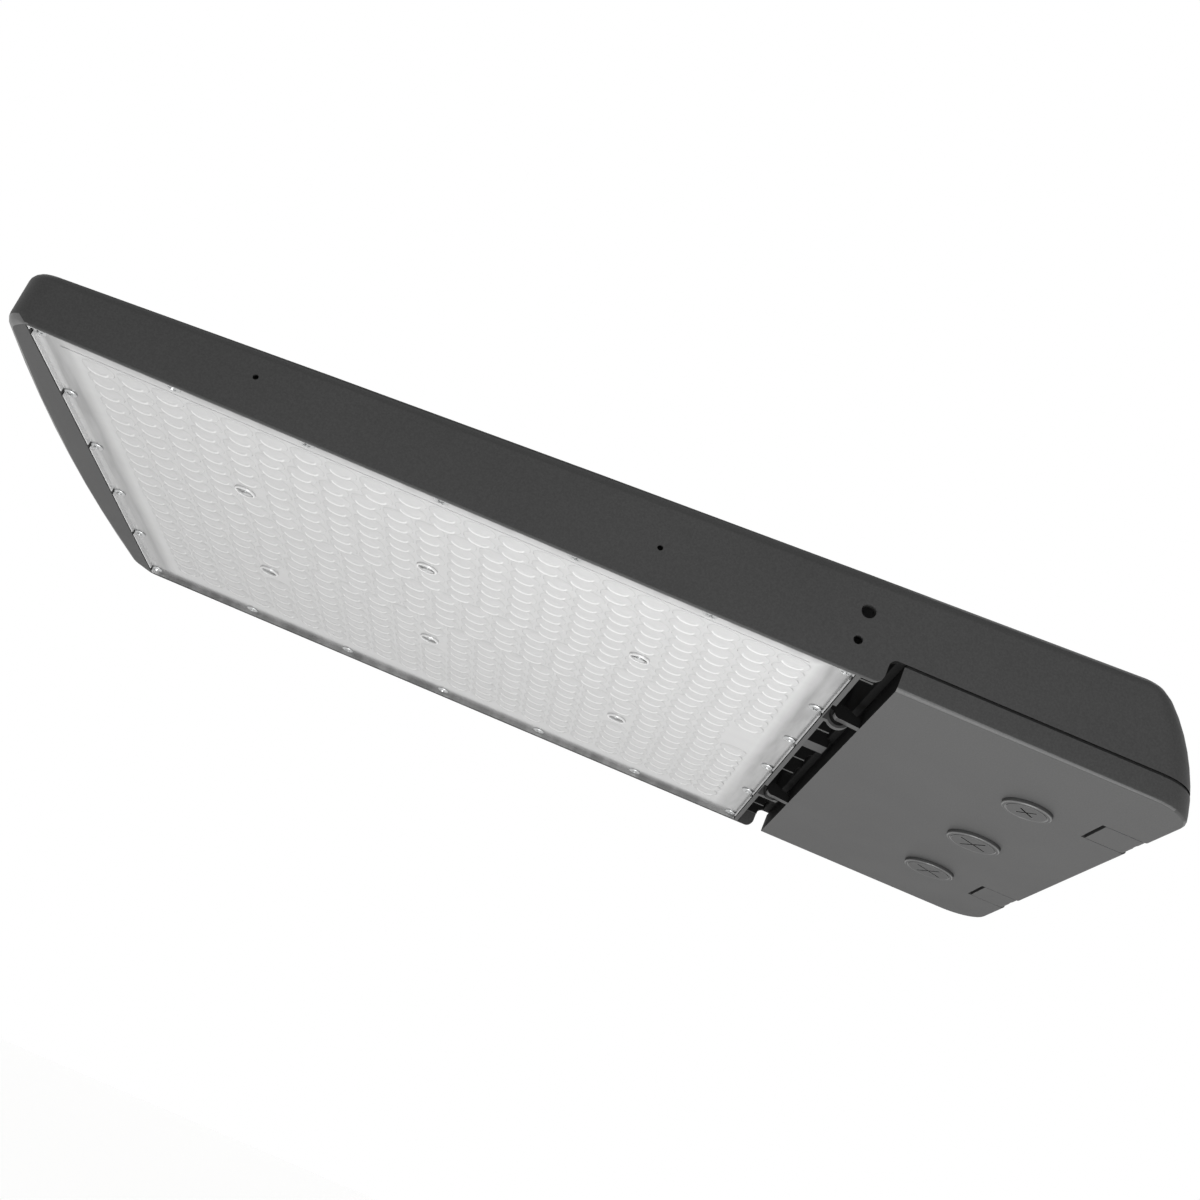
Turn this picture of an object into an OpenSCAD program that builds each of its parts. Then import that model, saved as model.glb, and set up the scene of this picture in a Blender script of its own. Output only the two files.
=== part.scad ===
// Slim shoebox area light: a die-cast housing that holds a flat lens and its
// LED boards at the front, and a driver compartment at the rear with a
// hinged door below. X runs from the lens end to the door end, Z is up and
// the light shines down. The origin is the bottom centre of the whole box.

/* [Overall] */
// Width of the housing
body_w = 379; // [330:1:460]
// Length of the lens
lens_l = 440; // [370:1:530]
// Length of the door
door_l = 160.8; // [134:0.1:193]
// Height of the front end over the rim
front_h = 30.9; // [29:0.1:40]
// Height of the highest place over the rim
rear_h = 59.1; // [49:0.1:72]
// Distance of the highest place from the rear end
peak_back = 45.6; // [38:0.1:55]
// How far the top line arches, as a share of its rise
top_arch = 0.2; // [0:0.01:0.25]

/* [Edges] */
// Front border, from the front end to the lens
front_border = 23.1; // [19.5:0.1:28]
// How far the front end bows out in its middle
front_bow = 7.5; // [0:0.1:9]
// Radius of the front corners in plan
front_corner_r = 18; // [12:1:22]
// Radius of the rear corners in plan at the bottom
rear_corner_r = 25.5; // [21:0.5:31]
// Radius of the rear corners in plan at the top
rear_top_r = 11.5; // [9.5:0.5:14]
// How far the rear wall leans in towards the top
rear_lean = 36; // [30:0.5:43]
// Radius of the long top edges
top_edge_r = 6; // [4:0.5:8]
// Radius of the front end's bottom edge
front_edge_r = 6.5; // [4:0.1:8]
// Radius of the housing's other bottom edges
rim_edge_r = 1; // [0.5:0.1:2]
// Radius of the door's bottom edge at the sides
door_edge_r = 3; // [2:0.1:4]
// Radius of the door's bottom edge at the rear
rear_edge_r = 1.8; // [1:0.1:2.5]

/* [Walls] */
// Side wall beside the lens
rim_t = 5; // [4:0.1:7]
// Thickness of the thin lip of the side walls, beside the lens and the gap
lip_t = 2; // [1.6:0.1:2.4]
// Wall of the driver compartment
wall_t = 4; // [3.4:0.1:5]
// Top skin of the driver compartment
skin_t = 3; // [2.4:0.1:4]
// End wall behind the lens
strip_t = 2.6; // [2:0.1:4]
// Plate that the LED boards are screwed against
plate_t = 4.2; // [3.5:0.1:6]

/* [Lens and boards] */
// Thickness of the lens plate
lens_t = 3; // [2.4:0.1:3.6]
// Height of the lens face over the rim
lens_rise = 2.8; // [2.4:0.1:4]
// How far the field of optics stands below the plate
optic_drop = 2; // [1:0.1:2.3]
// Thickness of the rib round the lens edge
lens_rib_t = 0.9; // [0.7:0.1:1.5]
// Distance from the rim to the lip of the lens rib
lens_rib_in = 0.3; // [0.2:0.1:1]
// Width of the sealing border of the lens
lens_border = 12; // [10:0.5:15]
// Thickness of the pressed lens gasket
lens_gasket_t = 1.2; // [0.8:0.1:2]
// Depth of the LED space over the gasket seat
led_space = 3.8; // [3:0.1:5]
// Thickness of an LED board
board_t = 1.6; // [1:0.1:2]
// Gap between neighbouring boards
board_gap = 1; // [0.5:0.1:3]
// Bare strip beside the boards at the wire entry
entry_strip = 9; // [8.5:0.5:14]

/* [Fin field] */
// Distance between fins
fin_pitch = 17.5; // [15:0.5:21]
// Thickness of a fin
fin_t = 2.3; // [1.8:0.1:4]
// Length of the open gap between lens end and door
gap_l = 18; // [16:0.5:22]
// How far the side walls run past the lens end
cheek_l = 10.5; // [9:0.1:12]
// Height of the gap's ribs over the rim
rib_rise = 9.7; // [8.1:0.1:11.6]
// Thickness of the wall that hangs in front of the door
apron_t = 2; // [1.6:0.1:2.6]
// Thickness of the apron's lower edge between the ribs
apron_lip = 0.6; // [0.4:0.1:1]
// Height over which the apron tapers to its lower edge
apron_taper = 6; // [4:0.5:8]
// Gap between that wall and the door
apron_gap = 2.4; // [2:0.1:3]
// Distance from a hinge arm within which the gap has no rib
rib_clear = 33; // [28:1:38]

/* [Screws] */
// Number of screws along the lens
edge_cols = 7; // [5:1:9]
// Number of screws across the lens
edge_rows = 6; // [4:1:8]
// Distance of the edge screws from the lens edge
screw_inset = 4; // [3.6:0.1:5]
// Distance of the edge screws from the long sides of the lens
side_inset = 7; // [5.8:0.1:8.4]
// Places of the field screws from the front edge of the lens
field_x = [101, 211, 339];
// Distance of the field screws from the middle line
field_y = 68; // [50:1:80]
// Shaft radius of a screw
screw_r = 2; // [1.5:0.1:2.4]
// Head radius of a lens screw
head_r = 4; // [3.3:0.1:4.4]
// Head height of a lens screw
head_h = 2; // [1.5:0.1:2.4]
// How far the field screws are sunk
field_sink = 1.6; // [1:0.1:1.8]

/* [Door] */
// Height of the door's side wall
door_h = 13; // [11:0.1:16]
// Thickness of the door's floor
floor_t = 3; // [2.5:0.1:4]
// Thickness of the door seal
seal_t = 1.5; // [1:0.1:2.5]
// Width of the door seal
seal_w = 2.4; // [2:0.1:2.6]
// Distance between the two hinge arms
hinge_span = 200; // [166:1:240]
// How far the hinge arms are set off to the near side
hinge_shift = 8.5; // [6:0.5:10]
// Thickness of a hinge arm
arm_t = 6; // [4:0.1:7]
// Radius of the round end of a hinge arm
arm_r = 3.9; // [3.4:0.1:4.4]
// Distance of the hinge axis from the door front
hinge_ahead = 11.6; // [11:0.1:13]
// Height of the hinge axis over the rim
hinge_rise = 4.8; // [4.2:0.1:6]
// Radius of the hinge pin
hinge_pin_r = 3; // [2.5:0.1:3.2]
// Outer radius of the hooked hinge seat
hook_out = 7.1; // [6.4:0.1:7.3]
// Wall round the mouth of the hooked hinge seat
hook_t = 1.5; // [1.2:0.1:2]
// Width of the hooked hinge seat
hook_w = 4.5; // [4:0.5:6]
// Depth of the wide mouth of the hooked hinge seat
mouth_l = 2; // [1.5:0.5:2.5]
// Length of the notch in the end wall ahead of a hinge arm
notch_l = 20; // [16:0.5:24]

/* [Plugs] */
// Distance of the plugs from the rear end
plug_back = 59.9; // [50:0.1:68]
// Distance of the outer plugs from the middle line
plug_y = 98; // [80:1:110]
// How far the plugs stand below the door
plug_proud = 2.6; // [2:0.1:3.5]
// Radius of the head of the near plug
small_plug_r = 14; // [12:0.1:16]
// Radius of the heads of the other two plugs
large_plug_r = 16.2; // [14:0.1:19]
// How much wider the head is than its hole
plug_lap = 2.8; // [2:0.1:4]
// Thickness of the plug's sealing ring
plug_seal_t = 0.8; // [0.6:0.1:1.2]

/* [Latches] */
// Distance of the latches from the middle line
latch_y = 105.6; // [90:0.1:120]
// Width of a latch lever
latch_w = 31.5; // [26:0.5:38]
// Length of a latch lever
latch_l = 23.6; // [21:0.1:28]
// Width of the finger slot ahead of a latch lever
latch_slot = 2.2; // [1.5:0.1:3]
// Plate thickness of a latch lever
latch_t = 2.8; // [2:0.1:3]
// Radius of the latch pin
latch_pin_r = 1.5; // [1.2:0.1:1.8]

/* [Side holes] */
// Radius of the bracket bolt hole
bracket_r = 3.8; // [3:0.1:4.5]
// Radius of the bracket locking hole
lock_r = 2.4; // [2:0.1:3]
// Radius of the shield screw holes
shield_r = 1.5; // [1.2:0.1:2]
// Height of the bracket bolt hole over the rim
bracket_rise = 32.9; // [30:0.1:36]
// Height of the bracket locking hole over the rim
lock_rise = 16.9; // [15:0.1:20]
// Height of the shield holes over the rim
shield_rise = 20.9; // [19:0.1:22]
// Distance of the bracket holes from the rear end of the lens
bracket_in = 4.9; // [4:0.1:8]
// Distance of the rear shield hole from the rear end of the lens
shield_in = 111.5; // [90:0.5:130]
// Distance between the shield holes
shield_span = 216; // [180:0.5:250]

/* [Arm mount] */
// Width of the flat pad on the rear wall
pad_w = 118; // [100:1:140]
// Lower edge of the pad over the rim
pad_rise = 20; // [18:0.5:24]
// Height of the pad
pad_h = 31; // [28:0.5:34]
// Distance between the two arm bolts
arm_bolt_span = 82; // [70:1:95]
// Radius of the arm bolt holes
arm_bolt_r = 5.25; // [4.25:0.05:6]
// Radius of the wire entry
wire_entry_r = 10; // [8:0.5:11]

/* [Driver compartment] */
// Length of the driver case
driver_l = 222; // [185:1:240]
// Width of the driver case
driver_w = 60; // [50:1:66]
// Height of the driver case
driver_h = 32; // [26:1:33]
// Distance of the driver case from the front wall
driver_in = 13; // [12:0.5:16]
// How far the driver is set off to the near side
driver_shift = 39; // [30:1:46]
// Least height of a screw boss
boss_l = 4; // [3.5:0.5:6]
// Radius of a screw boss
boss_r = 5; // [4:0.1:6]
// Radius of the LED cable
cable_r = 2.2; // [1.8:0.1:2.4]
// Width of the wire duct across the gap
duct_w = 15.6; // [13:0.1:18]
// Wall over the bore of the wire duct
duct_wall = 2.6; // [2:0.1:4]

/* [Hidden] */
$fn = 48;
// Clearance round a piece that drops into a pocket
fit = 0.5;
// Clearance of a screw shaft in its threaded hole
thread_fit = 0.05;
// Clearance of a shaft that turns in its bore
turn_fit = 0.06;
// Overshoot of a cutting shape
over = 1;
// Colours
coat = [0.27, 0.27, 0.28];
steel = [0.72, 0.72, 0.74];
clear = [0.86, 0.87, 0.88];
seal_black = [0.09, 0.09, 0.09];
board_white = [0.93, 0.93, 0.9];
// Lengths
body_l = front_border + lens_l + fit + strip_t + gap_l + door_l;
lens_w = body_w - 2 * (lip_t + fit);
x_front = -body_l / 2;
x_rear = body_l / 2;
lens_x0 = x_front + front_border;
lens_x1 = lens_x0 + lens_l;
strip_x1 = lens_x1 + fit + strip_t;
door_x0 = strip_x1 + gap_l;
cheek_x = strip_x1 + cheek_l;
comp_x0 = door_x0 + wall_t;
x_peak = x_rear - peak_back;
front_axis = x_front + front_corner_r + front_bow;
// Heights
rim_z = plug_proud;
lens_z = rim_z + lens_rise;
lens_top = lens_z + lens_t;
seat_z = lens_top + lens_gasket_t;
space_z = seat_z + led_space;
plate_z = space_z + plate_t;
board_z = space_z - board_t;
door_top = rim_z + door_h;
part_z = door_top + seal_t;
rib_z = rim_z + rib_rise;
top_z = rim_z + rear_h;
// Screw grid
pitch_x = (lens_l - 2 * screw_inset) / (edge_cols - 1);
pitch_y = (lens_w - 2 * side_inset) / (edge_rows - 1);
edge_spots = [for (i = [0:edge_cols - 1], j = [0:edge_rows - 1])
    if (i == 0 || j == 0 || i == edge_cols - 1 || j == edge_rows - 1)
        [lens_x0 + screw_inset + i * pitch_x, -lens_w / 2 + side_inset + j * pitch_y]];
field_spots = [for (x = field_x, s = [-1, 1]) [lens_x0 + x, s * field_y]];
field_head_z = lens_z - head_h + field_sink;
lens_hole_r = screw_r + 0.3;
screw_grip = 5;
field_boss_r = 3.6;
// LED space and boards
space_x0 = lens_x0 + lens_border;
space_x1 = lens_x1 - lens_border;
space_w = body_w - 2 * (rim_t + fit + lens_border);
board_l = (space_x1 - space_x0 - entry_strip - 2 * board_gap) / 3;
board_w = (space_w - 3 * board_gap) / 2;
// Wire duct and LED cable
duct_y = -fin_pitch;
duct_bore_r = cable_r + 1.2;
bend_r = 4;
drop_x = space_x1 - duct_bore_r - 1;
grommet_r = duct_bore_r - turn_fit;
flange_r = grommet_r + 2;
cable_z = part_z + flange_r + 0.6;
duct_top = cable_z + duct_bore_r + duct_wall;
connector_h = 2.4;
// Driver compartment
driver_x0 = comp_x0 + driver_in;
driver_y0 = -driver_l / 2 - driver_shift;
driver_y1 = driver_y0 + driver_l;
ear_l = 12;
ear_t = 2;
lead_y = driver_y1 + 6;
surge = [34, 48, 24];
surge_x0 = driver_x0 + 2;
surge_y0 = driver_y1 + 26;
block = [20, 46, 16];
block_x0 = driver_x0 + driver_w + 16;
block_y0 = 22;
ground_spot = [block_x0 + block[0] / 2, block_y0 - 24];
lead_r = 1.5;
// Door, hinge and latch
apron_x1 = door_x0 - apron_gap;
apron_x0 = apron_x1 - apron_t;
hinge_x = door_x0 - hinge_ahead;
hinge_z = rim_z + hinge_rise;
hook_r = hinge_pin_r + turn_fit;
hook_gap = 0.5;
mouth_r = hook_out - hook_t;
arm_spots = [for (s = [-1, 1]) s * hinge_span / 2 - hinge_shift];
rear_in = lean((door_h + seal_t) / rear_h);
pocket_x0 = door_x0 + wall_t;
pocket_x1 = x_rear - rear_in - wall_t;
pocket_w = body_w - 2 * wall_t;
seat_r = corner_r((door_h + seal_t) / rear_h);
pocket_r = seat_r - wall_t;
plug_x = x_rear - plug_back;
latch_x = x_rear - 3.3;
latch_z = rim_z + 3.3;
barrel_r = 3.2;
tab_x0 = x_rear - latch_l;
latch_gap = 0.6;
spring_l = 9;
catch_z = part_z + 1;
catch_h = 2.8;
nose_top = catch_z + catch_h + 4;
nose_gap = 0.73;
nose_tip = x_rear - wall_t - lean((nose_top - rim_z) / rear_h) - nose_gap;
catch_tip = nose_tip + 1;
arm_x = nose_tip - 4.6;
latch_spots = [-latch_y, latch_y];

// Height over the rim of the top line at x
function rise(x) = let (s = (x - front_axis) / (x_peak - front_axis))
    front_h + (rear_h - front_h) * s * (1 + top_arch * (1 - s));

// Underside of the compartment's skin at x
function roof(x) = rim_z + rise(min(x, x_peak)) - skin_t;

// Set-back of the rear wall at the share t of its height
function lean(t) = rear_lean * (1 - pow(1 - pow(t, 1.55), 0.74));

// Radius of the rear corners in plan at the share t of their height
function corner_r(t) = rear_corner_r + (rear_top_r - rear_corner_r) * t;

// Inward step of a rounded top edge of radius r, at the distance d below the top
function edge_in(r, d) = d >= r ? 0 : r - sqrt(r * r - (r - d) * (r - d));

// Place of a boss face in the driver compartment
boss_z = roof(driver_x0) - boss_l;

// Round stone with an upright axis that the outer form is hulled from
module stone(x, y, r, h, top_r, low_r) {
    steps = 5;
    low = [for (i = [0:steps]) let (a = 90 * i / steps)
        [r - low_r + low_r * sin(a), low_r - low_r * cos(a)]];
    high = [for (i = [0:steps]) let (a = 90 * i / steps)
        [r - top_r + top_r * cos(a), h - top_r + top_r * sin(a)]];
    translate([x, y, rim_z])
        rotate_extrude($fn = 36)
            polygon(concat([[0, 0]], low, high, [[0, h]]));
}

// Rear corners as thin slices, moved in by the wall w and lowered by the skin k
module rear_slices(w, k, low_r, top_r) {
    h = rear_h - k;
    for (s = [-1, 1]) {
        for (t = [0.08, 0.2, 0.32, 0.44, 0.56, 0.68, 0.8, 0.9, 0.95, 0.98, 1]) {
            r = corner_r(t);
            translate([x_rear - lean(t) - r, s * (body_w / 2 - r), rim_z + t * h - 0.01])
                cylinder(r = r - w - edge_in(top_r, h - t * h), h = 0.01, $fn = 36);
        }
        for (i = [0:4]) {
            r = corner_r(0);
            translate([x_rear - r, s * (body_w / 2 - r), rim_z + low_r - low_r * cos(22.5 * i)])
                cylinder(r = r - w - low_r + low_r * sin(22.5 * i), h = 0.01, $fn = 36);
        }
    }
}

// Outer form of the whole light. The rounder lower edge of the front ends where the lens begins
module outer_form() {
    r = front_corner_r;
    lip_r = top_edge_r + 1;
    hull() {
        for (k = [-1:0.25:1])
            stone(x_front + r + front_bow * k * k, k * (body_w / 2 - r), r, front_h, top_edge_r,
                front_edge_r);
        for (s = [-1, 1]) {
            stone(front_axis, s * (body_w / 2 - lip_r), lip_r, front_h, top_edge_r, rim_edge_r);
            stone(front_axis + r, s * (body_w / 2 - r), r, rise(front_axis + r), top_edge_r, rim_edge_r);
        }
        for (k = [0.25:0.25:1], s = [-1, 1]) {
            x = front_axis + k * (x_peak - front_axis);
            stone(x, s * (body_w / 2 - r), r, rise(x), top_edge_r, rim_edge_r);
        }
        rear_slices(0, 0, rear_edge_r, top_edge_r);
    }
}

// Hollow of the driver compartment
module compartment() {
    r = 6;
    hull() {
        for (x = [comp_x0 + r, x_peak], s = [-1, 1])
            stone(x, s * (body_w / 2 - wall_t - r), r, rise(x) - skin_t, 4, 0.1);
        rear_slices(wall_t, skin_t, 0.1, 4);
    }
}

// Door's side of the parting line: all below it, between the side walls
module door_space() {
    inner_w = body_w - 2 * rim_t;
    translate([door_x0, -body_w, -over])
        cube([body_l, 2 * body_w, part_z + over]);
    translate([apron_x1, -inner_w / 2, -over])
        cube([body_l, inner_w, part_z + over]);
}

// Stepped notch in the side walls: rounded foot below, rounded corner above
module cheek_notch() {
    notch_r = 4;
    foot_r = 5.5;
    rotate([90, 0, 0])
        linear_extrude(body_w + 2 * over, center = true) {
            difference() {
                translate([cheek_x, -over])
                    square([door_x0 - cheek_x + over, part_z + over]);
                translate([cheek_x, part_z - notch_r])
                    difference() {
                        square(notch_r);
                        translate([notch_r, 0])
                            circle(notch_r);
                    }
            }
            translate([cheek_x - foot_r, rim_z - over])
                difference() {
                    square([foot_r, foot_r + over]);
                    translate([0, foot_r + over])
                        circle(foot_r);
                }
        }
}

// Ribs that cross the gap, none of them beside a hinge arm
rib_count = floor((body_w / 2 - rim_t) / fin_pitch / 2);
rib_spots = [for (k = [-rib_count:rib_count]) let (y = (2 * k - 1) * fin_pitch)
    if (abs(y) < body_w / 2 - rim_t - fin_t && min([for (a = arm_spots) abs(y - a)]) > rib_clear) y];

// Grooves between the fins
module fin_grooves() {
    x0 = x_front + front_bow + 9;
    inner_w = body_w - 2 * rim_t;
    count = ceil(body_w / 2 / fin_pitch);
    intersection() {
        translate([x0, -inner_w / 2, 0])
            cube([door_x0 - x0, inner_w, top_z + over]);
        for (k = [-count:count])
            translate([x0, k * fin_pitch + fin_t / 2, plate_z])
                cube([strip_x1 - x0 + 0.01, fin_pitch - fin_t, top_z]);
    }
}

// Open gap between the lens end and the driver compartment, less its ribs
module open_gap() {
    inner_w = body_w - 2 * rim_t;
    difference() {
        union() {
            translate([strip_x1, -inner_w / 2, 0])
                cube([apron_x0 - strip_x1, inner_w, top_z + over]);
            translate([0, inner_w / 2, 0])
                rotate([90, 0, 0])
                    linear_extrude(inner_w)
                        polygon([[apron_x0 - over, rib_z - over], [apron_x1 - apron_lip, rib_z - over],
                            [apron_x1 - apron_lip, rib_z], [apron_x0, rib_z + apron_taper],
                            [apron_x0 - over, rib_z + apron_taper]]);
        }
        for (y = rib_spots)
            translate([strip_x1 - over, y - fin_t / 2, rib_z])
                cube([gap_l + 2 * over, fin_t, top_z]);
    }
    translate([strip_x1, -body_w / 2 + lip_t, 0])
        cube([gap_l, body_w - 2 * lip_t, rib_z]);
}

// Pocket for the lens, its gasket seat and the LED space
module lens_pocket() {
    translate([lens_x0 - fit, -lens_w / 2 - fit, 0])
        cube([lens_l + 2 * fit, lens_w + 2 * fit, seat_z]);
    translate([space_x0, -space_w / 2, 0])
        cube([space_x1 - space_x0, space_w, space_z]);
}

// Seat for one hinge pin: a cup with a wide mouth and a hook that carries the pin, cut off below low
module hinge_hook(y, low) {
    y0 = y + arm_t / 2 + hook_gap;
    difference() {
        union() {
            translate([hinge_x, y0, hinge_z])
                rotate([-90, 0, 0])
                    cylinder(r = hook_out, h = hook_w);
            translate([strip_x1 - over, y0, rim_z])
                cube([hinge_x - strip_x1 + over - mouth_r + 0.6, hook_w, hinge_rise + 2]);
        }
        translate([hinge_x - hook_out - over, y0 - over, low - 20])
            cube([2 * hook_out + 2 * over, hook_w + 2 * over, 20]);
        translate([hinge_x, y0 - over, hinge_z])
            rotate([-90, 0, 0])
                cylinder(r = hook_r, h = hook_w + 2 * over);
        translate([hinge_x, y0 - over, hinge_z])
            rotate([-90, 0, 0])
                cylinder(r = mouth_r, h = mouth_l + over);
        translate([hinge_x - hook_r, y0 - over, hinge_z])
            cube([20, hook_w + 2 * over, 20]);
        translate([hinge_x - mouth_r, y0 - over, hinge_z])
            cube([20, mouth_l + over, 20]);
        translate([hinge_x - 20 - hook_r, y0 - over, hinge_z + 2.2])
            cube([21, hook_w + 2 * over, 20]);
    }
}

// Notch in the end wall, through which a hinge arm swings
module arm_notch(y) {
    translate([strip_x1 - 1.9, y - arm_t / 2 - notch_l, 0])
        cube([3, notch_l + arm_t + hook_gap, seat_z]);
}

// Wire duct that joins the lens section to the driver compartment
module wire_duct() {
    back = duct_bore_r + 3;
    translate([drop_x - back, duct_y - duct_w / 2, space_z + 0.5])
        cube([strip_x1 - drop_x + back, duct_w, duct_top - space_z - 0.5]);
    translate([strip_x1 - over, duct_y - duct_w / 2, rib_z])
        cube([apron_x1 - strip_x1 + over, duct_w, duct_top - rib_z]);
}

// Bore of the wire duct and its drop into the LED space
module duct_bore() {
    translate([drop_x, duct_y, cable_z])
        rotate([0, 90, 0])
            cylinder(r = duct_bore_r, h = comp_x0 - drop_x + over);
    translate([drop_x, duct_y, space_z - over])
        cylinder(r = duct_bore_r, h = cable_z - space_z + over);
    translate([drop_x, duct_y, cable_z])
        sphere(r = duct_bore_r);
}

// Places of the screw bosses in the driver compartment
driver_spots = [for (x = [driver_x0 + 10, driver_x0 + driver_w - 10],
    y = [driver_y0 - ear_l / 2, driver_y1 + ear_l / 2]) [x, y]];
surge_spot = [surge_x0 + surge[0] / 2, surge_y0 - 6];
block_spots = [for (y = [block_y0 - 5, block_y0 + block[1] + 5]) [block_x0 + block[0] / 2, y]];
boss_spots = concat(driver_spots, [surge_spot], block_spots, [ground_spot]);

// Screw bosses that hang from the skin
module bosses() {
    for (p = boss_spots)
        translate([p[0], p[1], boss_z])
            cylinder(r = boss_r, h = roof(p[0]) - boss_z + skin_t / 2);
}

// Flat pad for the mounting arm, a hollow box on the leaning rear wall
pad_t = 5;
pad_x1 = x_rear - lean(pad_rise / rear_h) + 0.5;
pad_x0 = x_rear - lean((pad_rise + pad_h) / rear_h) - 3;
pad_mid = rim_z + pad_rise + pad_h / 2;
module arm_pad() {
    translate([pad_x0, -pad_w / 2, rim_z + pad_rise])
        cube([pad_x1 - pad_x0, pad_w, pad_h]);
}

module pad_hollow() {
    translate([pad_x0 - over, -pad_w / 2 + wall_t, rim_z + pad_rise + wall_t])
        cube([pad_x1 - pad_t - pad_x0 + over, pad_w - 2 * wall_t, pad_h - 2 * wall_t]);
}

// Lug on the inside of the rear wall that a latch nose sits over
module catch_lug(y) {
    translate([catch_tip, y - latch_w / 4, catch_z])
        cube([4.6, latch_w / 2, catch_h]);
}

module side_holes() {
    for (s = [-1, 1])
        translate([0, s * body_w / 2, rim_z])
            rotate([s * 90, 0, 0])
                translate([0, 0, -over]) {
                    translate([lens_x1 - bracket_in, s * bracket_rise])
                        cylinder(r = bracket_r, h = rim_t + 2 * over);
                    translate([lens_x1 - bracket_in, s * lock_rise])
                        cylinder(r = lock_r, h = rim_t + 2 * over);
                    for (k = [0, 1])
                        translate([lens_x1 - shield_in - k * shield_span, s * shield_rise])
                            cylinder(r = shield_r, h = rim_t + 2 * over);
                }
}

// Threaded holes for the lens screws
module lens_screw_holes() {
    for (p = edge_spots)
        translate([p[0], p[1], seat_z - over])
            cylinder(r = screw_r + thread_fit, h = screw_grip + over + 0.5, $fn = 24);
    for (p = field_spots)
        translate([p[0], p[1], lens_top - over])
            cylinder(r = screw_r + thread_fit, h = seat_z - lens_top + led_space + over + 2, $fn = 24);
}

module housing() {
    color(coat)
        difference() {
            union() {
                difference() {
                    outer_form();
                    compartment();
                    door_space();
                    cheek_notch();
                    fin_grooves();
                    open_gap();
                    lens_pocket();
                }
                for (p = field_spots)
                    translate([p[0], p[1], lens_top])
                        cylinder(r = field_boss_r, h = space_z - lens_top + 1);
                wire_duct();
                hinge_hook(arm_spots[0], 0);
                hinge_hook(arm_spots[1], rim_z);
                for (y = latch_spots)
                    catch_lug(y);
                bosses();
                arm_pad();
            }
            pad_hollow();
            lens_screw_holes();
            duct_bore();
            side_holes();
            for (p = boss_spots)
                translate([p[0], p[1], boss_z - over])
                    cylinder(r = screw_r + thread_fit, h = screw_grip + over + 0.3, $fn = 24);
            for (s = [-1, 1])
                translate([pad_x1 - pad_t - over, s * arm_bolt_span / 2, pad_mid])
                    rotate([0, 90, 0])
                        cylinder(r = arm_bolt_r, h = pad_t + 2 * over);
            translate([pad_x1 - pad_t - over, 0, pad_mid])
                rotate([0, 90, 0])
                    cylinder(r = wire_entry_r, h = pad_t + 2 * over);
            for (y = arm_spots)
                arm_notch(y);
        }
}

// Rib round the edge of the lens, open at each screw head
module lens_rib() {
    difference() {
        translate([lens_x0, -lens_w / 2, rim_z + lens_rib_in])
            cube([lens_l, lens_w, lens_z - rim_z]);
        translate([lens_x0 + lens_rib_t, -lens_w / 2 + lens_rib_t, 0])
            cube([lens_l - 2 * lens_rib_t, lens_w - 2 * lens_rib_t, lens_z + 1]);
        for (p = edge_spots)
            translate([p[0], p[1], 0])
                cylinder(r = head_r + 0.8, h = lens_z, $fn = 24);
    }
}

module lens_plate() {
    color(clear)
        difference() {
            union() {
                translate([lens_x0, -lens_w / 2, lens_z])
                    cube([lens_l, lens_w, lens_t]);
                translate([space_x0 + 1, -space_w / 2 + 1, lens_z - optic_drop])
                    cube([space_x1 - space_x0 - entry_strip - 1, space_w - 2, optic_drop + 0.5]);
                lens_rib();
            }
            for (p = concat(edge_spots, field_spots))
                translate([p[0], p[1], 0])
                    cylinder(r = lens_hole_r, h = 2 * lens_top, $fn = 24);
            for (p = field_spots)
                translate([p[0], p[1], 0])
                    cylinder(r = head_r + 1, h = lens_z + field_sink);
        }
}

module lens_gasket() {
    color(seal_black)
        difference() {
            translate([lens_x0, -lens_w / 2, lens_top])
                cube([lens_l, lens_w, lens_gasket_t]);
            translate([space_x0, -space_w / 2, 0])
                cube([space_x1 - space_x0, space_w, 2 * seat_z]);
            for (p = edge_spots)
                translate([p[0], p[1], 0])
                    cylinder(r = lens_hole_r, h = 2 * seat_z, $fn = 24);
        }
}

// Pan-head screw that points up, with a cross recess, its head face at z = 0
module pan_screw(length) {
    difference() {
        union() {
            cylinder(r1 = head_r - 0.7, r2 = head_r, h = 0.7, $fn = 32);
            translate([0, 0, 0.7])
                cylinder(r = head_r, h = head_h - 0.7, $fn = 32);
            cylinder(r = screw_r, h = head_h + length, $fn = 24);
        }
        for (a = [0, 90])
            rotate(a)
                translate([-0.5, -2, -over])
                    cube([1, 4, over + 1.1]);
    }
}

module lens_edge_screws() {
    color(steel)
        for (p = edge_spots)
            translate([p[0], p[1], lens_z - head_h])
                pan_screw(lens_t + lens_gasket_t + screw_grip);
}

module lens_field_screws() {
    color(steel)
        for (p = field_spots)
            translate([p[0], p[1], field_head_z])
                pan_screw(space_z + 1.5 - field_head_z - head_h);
}

// LED board, numbered along the light and then across it
module led_board(index) {
    col = index % 3;
    row = floor(index / 3);
    x0 = space_x0 + board_gap / 2 + col * (board_l + board_gap);
    y0 = (row == 0 ? -board_w - board_gap / 2 : board_gap / 2);
    color(board_white)
        difference() {
            translate([x0, y0, board_z])
                cube([board_l, board_w, board_t]);
            for (p = field_spots)
                translate([p[0], p[1], 0])
                    cylinder(r = field_boss_r + 0.4, h = 2 * plate_z);
        }
}

module led_board_1() { led_board(0); }
module led_board_2() { led_board(1); }
module led_board_3() { led_board(2); }
module led_board_4() { led_board(3); }
module led_board_5() { led_board(4); }
module led_board_6() { led_board(5); }

module led_connector() {
    color([0.9, 0.9, 0.86])
        translate([drop_x - duct_bore_r - 8, duct_y - 5, board_z - connector_h])
            cube([duct_bore_r + 8 + cable_r + 0.6, 10, connector_h]);
}

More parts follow.
